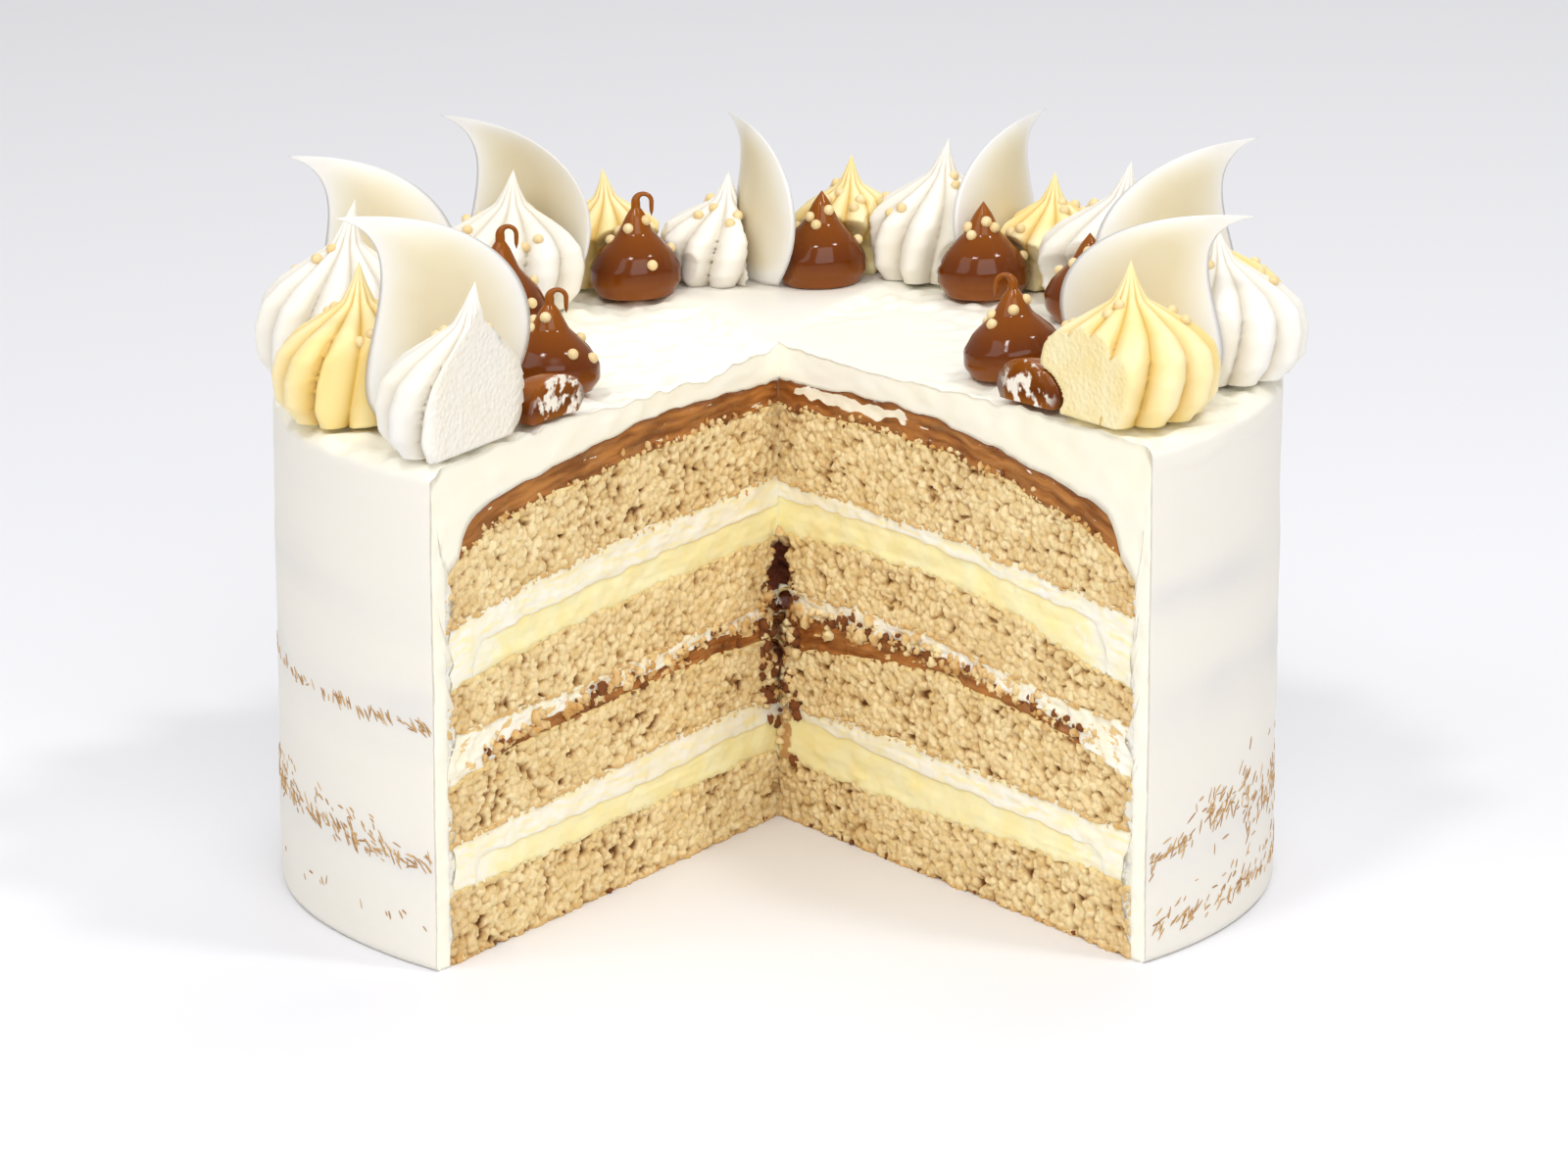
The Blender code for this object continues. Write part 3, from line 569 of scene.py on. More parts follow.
def streaked(low, high, seed):
    """Depth of a soft caramel, and a tone near 1 along a wavering streak of cream at the right cut: low and
    high are how far it runs, in mm along the cut, about a third of the way up the layer."""
    plain = dragged(0.15, 0.15)

    def depth(along, height, side):
        pushed, _ = plain(along, height, side)
        mm = along / MM
        over = (height - meeting("on_sponge_4", float(side), mm / CUT_LENGTH)) / MM
        middle = 3.3 + 0.8 * noise(mm[..., None] / 8, seed)
        wide = 1.3 + 0.7 * noise(mm[..., None] / 3, seed + 3)
        inside = smooth((mm - low) / 5) * smooth((high - mm) / 8)
        return pushed, 1.15 * (1 - side) * inside * np.exp(-(((over - middle) / wide) ** 2))

    return depth


crumbed_toffee = boiled_caramel("crumbed_milk_caramel", "EBCB8E", 0.6, 0.63, (0.13, 0.42, 7.0))
toffee = boiled_caramel("milk_caramel", "F6ECDA", 0.68, 0.7, (0.16, 0.8, 7.0))
floor = lapped(level("on_sponge_2"), -LAP)
roof = filled("on_sponge_2", "on_caramel_mid", CARAMEL_END)
slab("caramel_mid", floor, roof, CARAMEL_END, dragged(0.3, 0.3), crumbed_toffee, 0.4 * MM)
floor = lapped(level("on_sponge_4"), -LAP)
cap_roof = filled("on_sponge_4", "on_caramel_top", CAP_END)
slab("caramel_top", floor, cap_roof, CAP_END, streaked(3, 50, 55), toffee, 0.5 * MM)


# The creams: soft white buttercream over each filling, which also closes the outer end of the filling as a
# dam. The middle one is broken up by crumbs and caramel.
def spread_cream(name, patch_code, patch_from, patch_full, drawn_out):
    """Buttercream, whiter in its middle, with patches of another food dragged along it."""
    made, tree, shader = blank(name)
    at = add(tree, "TexCoord").outputs["Object"]
    marks = {
        name: add(tree, "Attribute", attribute_name=name).outputs["Fac"]
        for name in ("cave", "over_floor", "under_roof", "along", "side")
    }
    cloud = add(tree, "TexNoise", {"Vector": at, "Scale": 160.0, "Detail": 4.0})
    rag = add(tree, "TexNoise", {"Vector": at, "Scale": 420.0, "Detail": 3.0})
    share = add(tree, "MapRange", {"Value": cloud, "From Min": 0.35, "From Max": 0.7})
    reach = add(tree, "Math", {0: rag, 1: 3.4, 2: -0.6}, operation="MULTIPLY_ADD")
    near = add(tree, "Math", {0: reach, 1: marks["under_roof"]}, operation="SUBTRACT")
    crumbed = add(tree, "MapRange", {"Value": near, "From Max": 0.6, "To Max": 0.5})
    way = add(tree, "CombineXYZ", {0: marks["along"], 1: marks["over_floor"], 2: marks["side"]})
    stretched = add(tree, "VectorMath", {0: way, 1: drawn_out}, operation="MULTIPLY")
    drawn = add(tree, "TexNoise", {"Vector": stretched, "Scale": 1.0, "Detail": 3.0, "Roughness": 0.6})
    on = add(tree, "MapRange", {"Value": drawn, "From Min": patch_from, "From Max": patch_full})
    # Dark brown in the torn hollow at the wedge's point, darker the deeper it goes: partly caramel and dark
    # crumbs lodged there, partly painted shade of the hollow.
    dark = add(tree, "MapRange", {"Value": marks["cave"], "From Min": 0.1, "From Max": 0.4})
    layers = ((share, "FBF3D8"), (crumbed, "FBE9B2"), (on, patch_code), (dark, "6A3212"))
    tint = "FFFCF0"
    for share, over in layers:
        tint = add(tree, "Mix", {0: share, 6: tint, 7: over}, data_type="RGBA")
    soft = add(tree, "Bump", {"Height": cloud, "Strength": 0.3, "Distance": 0.7 * MM})
    look = {"Base Color": tint, "Roughness": 0.5, "Normal": soft}
    fill(shader, {**look, **seen_into(0.3, (1.0, 0.8, 0.55), 2.0)})
    return made


cream = spread_cream("butter_cream", "FFF3C4", 0.5, 0.62, (0.14, 0.7, 7.0))
crumbed_cream = spread_cream("crumbed_butter_cream", "E9C88C", 0.57, 0.6, (0.15, 0.4, 7.0))
CREAMS = (
    ("cream_1", filled("on_sponge_1", "on_custard_1", FILLING_END), "under_sponge_2", cream, 0.12),
    (
        "cream_mid",
        filled("on_sponge_2", "on_caramel_mid", CARAMEL_END),
        "under_sponge_3",
        crumbed_cream,
        0.35,
    ),
    ("cream_2", filled("on_sponge_3", "on_custard_2", FILLING_END), "under_sponge_4", cream, 0.12),
)
for name, floor, over, finish, rough in CREAMS:
    roof = lapped(level(over), LAP)
    floor = lapped(floor, -0.3 * MM)
    slab(name, floor, roof, 1.0, dragged(0.2, rough), finish, 0.4 * MM)


# The coat: icing spread over the top and scraped thin round the side, so that crumbs show through it in
# bands. Its section shows at both cuts, thick over the dome and thin down the side.
TOP_HEIGHT = 105.3 * MM
TOP_TILT = np.array([0.026, 0.017])
DISH_DEPTH = 3.7 * MM
DISH_RADIUS = 68 * MM
EDGE_ROUND = 4 * MM
COAT_TURNS = 230
SIDE_STEPS = 110
EDGE_STEPS = 8
LID_STEPS = 70
RIM_REACH = 128 * MM
BAND_STEPS = 10


def lid(x, y):
    """Height of the icing's top: a tilted plane less a shallow dish, from the cake's axis."""
    plane = TOP_HEIGHT + TOP_TILT[0] * x + TOP_TILT[1] * y
    return plane - DISH_DEPTH * (1 - smooth(np.hypot(x, y) / DISH_RADIUS))


def swell_at(arc, tall, under_rim):
    """How far the icing stands out, in mm, by arc along the rim, height and depth under the rim: slow
    waves, fine level scrape lines, and a wavy lip under the rim near the right cut where the scraper
    stopped."""
    where = np.stack(np.broadcast_arrays(arc, tall), axis=-1)
    waves = 0.22 * noise(where / np.array([30, 14]), 61)
    waves = waves + 0.08 * noise(where / np.array([60, 2.4]), 67) - 0.25
    from_right = arc - RIM_ENDS[0] * CAKE_RADIUS / MM
    lip_at = 1.6 + 1.2 * noise(where[..., :1] / 11, 63)
    lip = 0.4 * np.exp(-(((under_rim - lip_at) / 0.8) ** 2))
    lip = lip * smooth((from_right - 3) / 12) * smooth((70 - from_right) / 20)
    return waves + lip


# Beside the cuts the columns stand closer, for the rounded and ragged edge.
near_end = np.array([0.0006, 0.0013, 0.0022, 0.0033])
turn = np.sort(np.concatenate([np.linspace(0, 1, COAT_TURNS + 1), near_end, 1 - near_end]))[:, None]
rim_angle = RIM_ENDS[0] + (RIM_ENDS[1] - RIM_ENDS[0]) * turn
rim_top = lid(CAKE_RADIUS * np.cos(rim_angle), CAKE_RADIUS * np.sin(rim_angle))
up = np.linspace(0, 1, SIDE_STEPS + 1)[None, :]
height = up * (rim_top - EDGE_ROUND)
scraped = np.stack(np.broadcast_arrays(rim_angle * CAKE_RADIUS / MM, height / MM), axis=-1)
swell = swell_at(scraped[..., 0], scraped[..., 1], (rim_top - EDGE_ROUND - height) / MM)
foot_in = 0.8 * np.clip(1 - height / (1.0 * MM), 0, 1) ** 2
side = place(turn, 1.0, height, CAKE_RADIUS + (swell - foot_in) * MM)
bend = np.radians(np.linspace(0, 90, EDGE_STEPS + 1)[None, 1:])
inset = EDGE_ROUND * (1 - np.cos(bend)) - swell[:, -1:] * MM
edge = place(turn, 1.0, rim_top - EDGE_ROUND * (1 - np.sin(bend)), CAKE_RADIUS - inset)
rim_share = 1 - (EDGE_ROUND + 0.4 * MM) / RIM_REACH
share = np.linspace(rim_share, 0, LID_STEPS + 1)[None, 1:]
spread = place(turn, share, 0.0, CAKE_RADIUS)
level_top = lid(spread[..., 0], spread[..., 1] - AXIS_Y)
waves = 0.3 * noise(spread[..., :2] / (26 * MM), 71) + 0.12 * noise(spread[..., :2] / (7 * MM), 73)
spread[..., 2] = level_top + waves * MM * smooth(share / 0.15) * smooth((1 - share) / 0.12)
outer = np.concatenate([side, edge, spread], axis=1)
# The knife rounds the top's edge along both cuts, and leaves it ragged.
from_apex = outer - np.array([APEX[0], APEX[1] + AXIS_Y, 0])
off_cut = np.minimum(from_apex @ inwards(0), from_apex @ inwards(1)) / MM
on_top = smooth((outer[..., 2] - (rim_top - EDGE_ROUND)) / EDGE_ROUND)
ragged = 1 + 0.7 * noise(outer[..., :2] / (3 * MM), 77)
outer[..., 2] -= 1.3 * MM * on_top * ragged * np.clip(1 - off_cut / 3.2, 0, 1) ** 2

sponge_edge = meeting("on_sponge_4", turn[:, 0], np.ones(len(turn)))[:, None]
inner_side = place(turn, 1.0, up * sponge_edge, INSIDE_RADIUS)
inner_share = np.linspace(1, 0, EDGE_STEPS + LID_STEPS + 1)[None, 1:]
inner_height = cap_roof(turn + 0 * inner_share, inner_share + 0 * turn) + 0.05 * MM
inner_top = place(turn, inner_share, inner_height, INSIDE_RADIUS)
inner = np.concatenate([inner_side, inner_top], axis=1)

# The knife has dragged icing a few millimetres over the ends of the layers, in a ragged smear.
mix = np.linspace(0, 1, BAND_STEPS + 1)
tall = inner_side[0, :, 2] / MM
in_reach = smooth((tall - 2) / 4) * smooth((inner_side[0, -1, 2] / MM - tall) / 4)
ends = []
for k, side_turn in ((0, 0), (-1, 1)):
    outer[k, :-1] += inwards(side_turn) * 0.35 * MM
    smear = 1.6 + 1.6 * noise(tall[:, None] / 5, 85 + k) + 0.9 * noise(tall[:, None] / 2, 87 + k)
    tip = inner[k].copy()
    tip[: len(tall), :2] -= rays(np.array(float(side_turn))) * (np.clip(smear, 0, 4) * in_reach * MM)[:, None]
    band = tip[:, None] * (1 - mix[None, :, None]) + outer[k][:, None] * mix[None, :, None]
    where = np.stack([np.hypot(band[..., 0], band[..., 1]), band[..., 2]], axis=-1) / MM
    dent = 0.35 * noise(where / np.array([5, 3]), 81 + k) + 0.15 * noise(where / 1.5, 83 + k)
    hold = (np.sin(np.pi * mix) ** 0.7)[None, :] * smooth(np.arange(len(band))[::-1] / 6)[:, None]
    band += inwards(side_turn) * ((dent - 0.1) * hold * MM)[..., None]
    ends.append(np.concatenate([inner[k][:, None], band], axis=1))
foot = inner[:, 0][:, None] * (1 - mix[None, :, None]) + outer[:, 0][:, None] * mix[None, :, None]
ends[0][0, 1:], ends[1][0, 1:] = foot[0], foot[-1]

# Where darker layers show faintly through the icing: soft bluish bands beside the two upper fillings.
tall = scraped[..., 1]
drift = noise(scraped / np.array([26, 9]), 93)
shadow = 0
for strength, middle, wide in ((0.55, 72, 4), (0.5, 50, 6), (0.45, 21, 5)):
    shadow = shadow + strength * np.exp(-(((tall - middle - 3 * drift) / wide) ** 2))
shadow = shadow * (0.7 + 0.5 * drift)
pad = ((0, 0), (0, outer.shape[1] - side.shape[1]))
grids = [outer, inner, *ends, foot]
torn_edge = 0.8 * on_top * np.exp(-np.clip(off_cut, 0, None) / 3)
notes = [("shadow", [np.pad(shadow, pad), 0.0, 0.0, 0.0, 0.0]), ("cut", [torn_edge, 0.0, 1.0, 1.0, 0.0])]

icing, tree, shader = blank("spread_icing")
at = add(tree, "TexCoord").outputs["Object"]
shadow_node = add(tree, "Attribute", attribute_name="shadow").outputs["Fac"]
cut_node = add(tree, "Attribute", attribute_name="cut").outputs["Fac"]
cloud = add(tree, "TexNoise", {"Vector": at, "Scale": 42.0, "Detail": 3.0})
veil = add(tree, "Math", {0: cloud, 1: shadow_node}, operation="MULTIPLY")
veil_part = add(tree, "MapRange", {"Value": veil, "From Max": 0.4, "To Max": 0.6})
side_tint = add(tree, "Mix", {0: veil_part, 6: "EFEADF", 7: "D8D6D6"}, data_type="RGBA")
cut_tint = add(tree, "Mix", {0: cloud, 6: "FFFEF6", 7: "FFF8DD"}, data_type="RGBA")
both = add(tree, "Mix", {0: cut_node, 6: side_tint, 7: cut_tint}, data_type="RGBA")
fine = add(tree, "TexNoise", {"Vector": at, "Scale": 260.0, "Detail": 3.0})
smear = add(tree, "Bump", {"Height": fine, "Strength": 0.12, "Distance": 0.5 * MM})
fill(shader, {"Base Color": both, "Roughness": 0.48, "Normal": smear})
fill(shader, seen_into(0.25, (1.0, 0.8, 0.6), 2.5))
settle(surface("icing_coat", grids, icing, notes), "icing_coat")


# The crumbs in the coat: bits of brown crust that the scraper dragged through the thin icing in short
# slanting strokes, most of them in bands where layers meet. Each is a thin tapered sliver that lies in the
# icing. Each band: corner it is measured from (0 right, 1 left), how many, where it starts and ends along
# the rim, its height at the start, its rise, its spread, the usual length of a sliver, all in mm.
FLECK_BANDS = (
    (1, 46, 0, 34, 49.2, 0.0, 0.55, 3.0),
    (1, 40, 30, 80, 49.2, 0.0, 0.5, 2.2),
    (1, 190, 0, 95, 21.6, 0.02, 1.1, 2.8),
    (1, 22, 18, 46, 26.0, 0.02, 1.3, 2.4),
    (1, 16, 54, 78, 27.0, 0.0, 1.6, 2.4),
    (1, 12, 0, 70, 9.0, 0.0, 1.2, 2.2),
    (0, 34, 0, 16, 20.6, 0.12, 1.2, 2.8),
    (0, 70, 14, 42, 25.0, 0.05, 2.8, 3.2),
    (0, 110, 38, 90, 20.5, 0.0, 3.6, 3.2),
    (0, 110, 0, 90, 6.8, 0.01, 0.9, 2.8),
    (0, 46, 0, 90, 10.0, 0.0, 1.9, 2.4),
    (1, 220, 90, 330, 23.0, -0.01, 2.2, 2.8),
    (1, 120, 200, 420, 7.0, 0.0, 1.6, 2.6),
    (1, 70, 75, 300, 49.2, 0.0, 0.7, 2.3),
)
FLECK_WIDE = 0.42 * MM
FLECK_THICK = 0.3 * MM
rng = np.random.default_rng(11)


def pebble(turns, rows):
    """A unit ball as a grid: circles whose radius is the sine of the angle from the pole."""
    circle = np.linspace(0, 2 * np.pi, turns + 1)[None, :]
    down = np.linspace(0, np.pi, rows + 1)[:, None]
    ring = np.sin(down)
    ball = np.stack([ring * np.cos(circle), ring * np.sin(circle), np.cos(down) + 0 * circle], axis=-1)
    ball[:, -1] = ball[:, 0]
    return ball


slivers = []
sliver_tones = []
for corner, count, start, stop, base, climb, spread_up, usual in FLECK_BANDS:
    along = start + (stop - start) * rng.random(count)
    clump = noise((along / 6)[:, None], 5 + count)
    along = np.maximum(along + 1.5 * clump, 2.0)
    tall = np.clip(base + climb * along + spread_up * rng.normal(0, 1, count), 1.5, 95)
    arc = RIM_ENDS[corner] * CAKE_RADIUS / MM + (along if corner == 0 else -along)
    angle = arc * MM / CAKE_RADIUS
    near_left = arc > 0.5 * (RIM_ENDS[0] + RIM_ENDS[1]) * CAKE_RADIUS / MM
    slant = np.radians(rng.normal(42, 24, count)) * np.where(near_left, -1, 1)
    radius = CAKE_RADIUS + swell_at(arc, tall, 80.0 + 0 * arc) * MM
    turn_at = (angle - RIM_ENDS[0]) / (RIM_ENDS[1] - RIM_ENDS[0])
    middle = place(turn_at, 1.0, tall * MM, radius)
    zero = 0 * angle
    out = np.stack([np.cos(angle), np.sin(angle), zero], axis=-1)
    level_way = np.stack([-np.sin(angle), np.cos(angle), zero], axis=-1)
    upright = np.array([0, 0, 1.0])
    long_way = level_way * np.cos(slant)[:, None] + upright * np.sin(slant)[:, None]
    wide_way = upright * np.cos(slant)[:, None] - level_way * np.sin(slant)[:, None]
    half_long = usual * MM * rng.uniform(0.25, 0.62, count)
    half_wide = FLECK_WIDE * rng.uniform(0.3, 0.62, count)
    ball = pebble(6, 6)
    bend = 0.25 * (1 - ball[..., 2] ** 2)
    x = ball[None, ..., 2:3] * (half_long[:, None] * long_way)[:, None, None]
    y = (ball[None, ..., 0:1] + bend[None, ..., None]) * (half_wide[:, None] * wide_way)[:, None, None]
    z = ball[None, ..., 1:2] * (FLECK_THICK / 2 * out)[:, None, None]
    slivers += list(middle[:, None, None] + x + y + z)
    sliver_tones += list(rng.random(count))
crust, tree, shader = blank("dragged_crust")
tone_node = add(tree, "Attribute", attribute_name="tone").outputs["Fac"]
tint = add(tree, "Mix", {0: tone_node, 6: "A27440", 7: "D0AB74"}, data_type="RGBA")
fill(shader, {"Base Color": tint, "Roughness": 0.6})
settle(surface("crumb_flecks", slivers, crust, [("tone", sliver_tones)]))


# The kisses: cream piped through a star nozzle, pressed together where they touch, and sliced flat where
# the knife went. White ones are whipped cream, yellow ones are coloured with custard. Each row: name, angle
# on the cake, distance from its axis, radius, height, lean of the tip, in degrees and mm.
WHITE_KISSES = (
    ("white_kiss_1", 227.1, 88.6, 18.0, 33.0, 2.0),
    ("white_kiss_2", 178.4, 89.5, 18.0, 36.0, 3.5),
    ("white_kiss_3", 131.7, 86.4, 18.0, 29.0, 1.0),
    ("white_kiss_4", 97.6, 86.8, 16.5, 23.0, 0.8),
    ("white_kiss_5", 67.4, 91.0, 17.0, 29.5, 2.2),
    ("white_kiss_6", 35.6, 89.2, 18.0, 30.0, 2.5),
    ("white_kiss_7", 349.2, 91.1, 18.0, 31.0, -1.6),
)
YELLOW_KISSES = (
    ("yellow_kiss_1", 202.5, 90.2, 17.5, 31.0, 0.5),
    ("yellow_kiss_2", 155.4, 91.3, 15.5, 21.0, 0.0),
    ("yellow_kiss_3", 113.8, 91.8, 13.5, 25.0, -1.0),
    ("yellow_kiss_4", 80.4, 93.3, 14.0, 25.0, 0.6),
    ("yellow_kiss_5", 50.7, 93.1, 14.0, 24.0, 0.8),
    ("yellow_kiss_6", 12.6, 91.7, 16.0, 24.0, -0.4),
    ("yellow_kiss_7", 324.4, 84.9, 18.5, 30.5, 0.3),
)
# Each row: name, angle, distance, radius, height, side to which the tip curls.
CARAMEL_KISSES = (
    ("caramel_kiss_1", 222.2, 60.0, 10.5, 8.6, 0),
    ("caramel_kiss_2", 194.6, 47.6, 10.2, 18.5, 1),
    ("caramel_kiss_3", 150.0, 67.0, 10.2, 21.5, 1),
    ("caramel_kiss_4", 113.2, 77.5, 10.1, 20.0, 1),
    ("caramel_kiss_5", 83.0, 78.5, 10.1, 20.0, 0),
    ("caramel_kiss_6", 54.6, 76.0, 10.1, 20.0, 0),
    ("caramel_kiss_7", 29.0, 75.0, 10.0, 18.0, 0),
    ("caramel_kiss_8", 348.7, 48.7, 10.6, 18.5, -1),
    ("caramel_kiss_9", 321.4, 63.3, 10.5, 9.0, 0),
)
# Each row: name, angle, distance of the foot, heading of the tip, side of the hollow, height, share of the
# usual reach.
PETALS = (
    ("petal_1", 213.3, 77.4, 196.0, 1, 42.1, 1.02),
    ("petal_2", 168.4, 82.1, 180.0, 1, 41.8, 0.92),
    ("petal_3", 128.2, 86.3, 145.0, -1, 38.0, 1.02),
    ("petal_4", 92.2, 80.5, 116.0, 1, 33.0, 0.95),
    ("petal_5", 58.5, 90.0, 55.0, -1, 32.8, 1.02),
    ("petal_6", 18.2, 85.0, 26.0, -1, 36.7, 1.04),
    ("petal_7", 340.2, 77.1, 336.0, -1, 35.1, 1.07),
)
# A petal's two edges: outwards in mm, share of its height.
PETAL_INNER = ((-8, 0), (-25.6, 0.465), (-14.4, 1.02), (22.3, 1))
PETAL_OUTER = ((11, 0), (27.7, 0.121), (0.4, 0.858), (22.3, 1))
PETAL_CUP = 3.4 * MM
PETAL_THICK = 1.3 * MM
PETAL_FLICK = 1.6 * MM
PETAL_LIFT = 0.38 * MM
LOBES = 11
GROOVE = 0.22
START_TURN = 0.7
TWIST = math.radians(26)
KISS_FOOT = ((0.78, 0), (0.96, 0.12), (1, 0.3), (0.94, 0.44), (0.75, 0.55))
KISS_OUTLINE = (*KISS_FOOT, (0.43, 0.66), (0.2, 0.74), (0.1, 0.85))
DROP_OUTLINE = ((0.84, 0.0), (1.0, 0.13), (1.0, 0.3), (0.8, 0.47), (0.4, 0.66), (0.2, 0.86))
BUTTON_OUTLINE = ((0.84, 0.0), (1.0, 0.28), (0.92, 0.55), (0.68, 0.8), (0.34, 0.95))
NEAR = 25 * MM
TOUCH = 0.25 * MM


def softened(outline):
    """An outline's corners rounded: its points joined by straight runs, then averaged over a twelfth of its
    height."""
    heights = np.linspace(0, 1, 241)
    radii = np.interp(heights, [p[1] for p in outline] + [1.0], [p[0] for p in outline] + [0.0])
    window = np.hanning(21)
    padded = np.concatenate([np.full(10, radii[0]), radii, -radii[-2:-12:-1]])
    radii = np.convolve(padded, window / window.sum(), "valid")
    radii[-1] = 0
    return heights, radii


CURVES = {
    name: softened(outline)
    for name, outline in (("star", KISS_OUTLINE), ("drop", DROP_OUTLINE), ("button", BUTTON_OUTLINE))
}


def spot(angle, distance):
    """A point on the cake by its angle in degrees and distance from the axis in mm."""
    return distance * MM * np.array([math.cos(math.radians(angle)), math.sin(math.radians(angle))])


def kiss_radius(kind, radius, height, z):
    """A kiss's outline radius at heights z over its foot."""
    heights, radii = CURVES[kind]
    return radius * np.interp(np.asarray(z) / height, heights, radii, right=0.0)


def bezier(corners, share):
    """A cubic curve through its first and last corner, drawn towards the two between."""
    corners = np.array(corners, float)
    share = share[..., None]
    parts = ((1 - share) ** 3, 3 * share * (1 - share) ** 2, 3 * share**2 * (1 - share), share**3)
    return sum(part * corner for part, corner in zip(parts, corners))


def petal_point(row, u, v, aside=0.0):
    """Points of a petal from the cake's axis, u of the way up and v of the way from its inner edge to its
    outer one: on the line between the two edges, moved sideways by the cup, the flick of the tip and
    aside."""
    _, angle, distance, heading, side, height, stretch = row
    outwards = spot(heading, 1) / MM
    across = np.array([-outwards[1], outwards[0]])
    foot = spot(angle, distance)
    between = (1 - v)[..., None] * bezier(PETAL_INNER, u) + v[..., None] * bezier(PETAL_OUTER, u)
    flat = between * (stretch, height) * MM
    hollow = 4 * v * (1 - v) * np.sin(np.pi * np.minimum(u + 0.12, 1) ** 0.8)
    bulge = side * PETAL_CUP * hollow - side * PETAL_FLICK * u**3 + aside
    flat_xy = foot + outwards * flat[..., :1] + across * bulge[..., None]
    base = lid(*foot) + (flat_xy - foot) @ TOP_TILT
    return np.stack([flat_xy[..., 0], flat_xy[..., 1], base + PETAL_LIFT + flat[..., 1]], axis=-1)


def beside_petal(centre, row):
    """What parts a kiss from a petal, as a function of height over the kiss's foot: of many directions, the
    one in which the nearest point of the petal's section at that height is furthest away."""
    u, v = np.meshgrid(np.linspace(0, 1, 25), np.linspace(0, 1, 9))
    points = petal_point(row, u, v).reshape(-1, 3)
    heights = np.arange(0, 48) * MM
    ways = np.radians(np.arange(0, 360, 2))
    ways = np.stack([np.cos(ways), np.sin(ways)])
    reach = (points[:, :2] - centre) @ ways
    near = np.abs(points[:, 2] - lid(*centre) - heights[:, None]) < 3 * MM
    nearest = np.where(near[..., None], reach, 1.0).min(axis=1)
    best = nearest.argmax(axis=1)
    far = nearest.max(axis=1) - PETAL_THICK / 2 - TOUCH
    return lambda z: tuple(np.interp(z, heights, row) for row in (ways[0, best], ways[1, best], far))


def between_kisses(across, far, own, other, firm):
    """What parts two kisses, as a function of height: midway where both are soft, the other's side where it
    is firm, and nothing where they don't meet."""

    def bound(z):
        mine = kiss_radius(*own, z)
        theirs = kiss_radius(*other, z)
        split = far - theirs if firm else (far**2 + mine**2 - theirs**2) / (2 * far)
        apart = (mine + theirs + 2 * TOUCH < far) | (theirs == 0)
        return across[0], across[1], np.where(apart, 1.0, split - TOUCH)

    return bound


def pressing(own_row, kind):
    """What bounds a kiss: a list of (function of height that gives the direction outwards and the distance,
    whether it is a knife's cut). Neighbours of one kind meet midway, caramel ones and petals hold their
    shape."""
    centre = spot(own_row[1], own_row[2])
    own = (kind, own_row[3] * MM, own_row[4] * MM)
    bounds = []
    for side in (0, 1):
        way = inwards(side)[:2]
        inside = float((centre - APEX) @ way)
        if 0 < inside < NEAR:
            bounds.append((lambda z, way=way, inside=inside: (-way[0], -way[1], inside), True))
    for row in WHITE_KISSES + YELLOW_KISSES + CARAMEL_KISSES if kind == "star" else ():
        across = spot(row[1], row[2]) - centre
        far = float(np.linalg.norm(across))
        if row is own_row or far > 2 * NEAR:
            continue
        firm = row in CARAMEL_KISSES
        other_kind = "star" if not firm else ("button" if row[4] < row[3] else "drop")
        other = (other_kind, row[3] * MM, row[4] * MM)
        bounds.append((between_kisses(across / far, far, own, other, firm), False))
    for row in PETALS:
        if np.linalg.norm(spot(row[1], row[2]) - centre) < 2 * NEAR:
            bounds.append((beside_petal(centre, row), False))
    to_front = centre[1] + AXIS_Y - cad_low[1]
    bounds.append((lambda z: (0.0, -1.0, to_front), False))
    return bounds


def pressed(radius, around, z, bounds):
    """The radius kept inside the bounds: cut flat by a knife, and squeezed with a soft corner by the
    others. Also how much of it the knife took, 0 or 1."""
    knifed = np.zeros_like(radius)
    for bound, is_cut in bounds:
        way_x, way_y, far = bound(z)
        towards = np.cos(around) * way_x + np.sin(around) * way_y
        limit = np.where(towards > 1e-3, np.maximum(far, 0.4 * MM) / np.maximum(towards, 1e-3), 1.0)
        if is_cut:
            knifed = np.maximum(knifed, (limit < radius).astype(float))
            radius = np.minimum(radius, limit)
        else:
            blend = 0.8 * MM
            gap = np.clip((limit - radius) / blend, -30, 30)
            radius = np.minimum(radius, limit - blend * np.log1p(np.exp(-np.abs(gap))) * (gap < 6))
    return np.maximum(radius, 0), knifed


def kiss_points(row, out, around, up, lean=0.0):
    """Points of a kiss from its radii at angles and shares of its height: it stands on the icing, and its
    upper part leans towards +X by the cube of the share."""
    centre = spot(row[1], row[2])
    x = out * np.cos(around) + lean * up**3
    y = out * np.sin(around)
    z = up * row[4] * MM + lid(centre[0] + x, centre[1] + y) + 0.1 * MM
    return np.stack([x + centre[0], y + centre[1] + AXIS_Y, z], axis=-1)


def closed(skin):
    """A kiss's skin with its seam and tip joined, and its sole."""
    skin[:, -1] = skin[:, 0]
    skin[-1] = skin[-1, 0]
    return [skin, np.stack([skin[0], np.broadcast_to(skin[0].mean(axis=0), skin[0].shape)])]


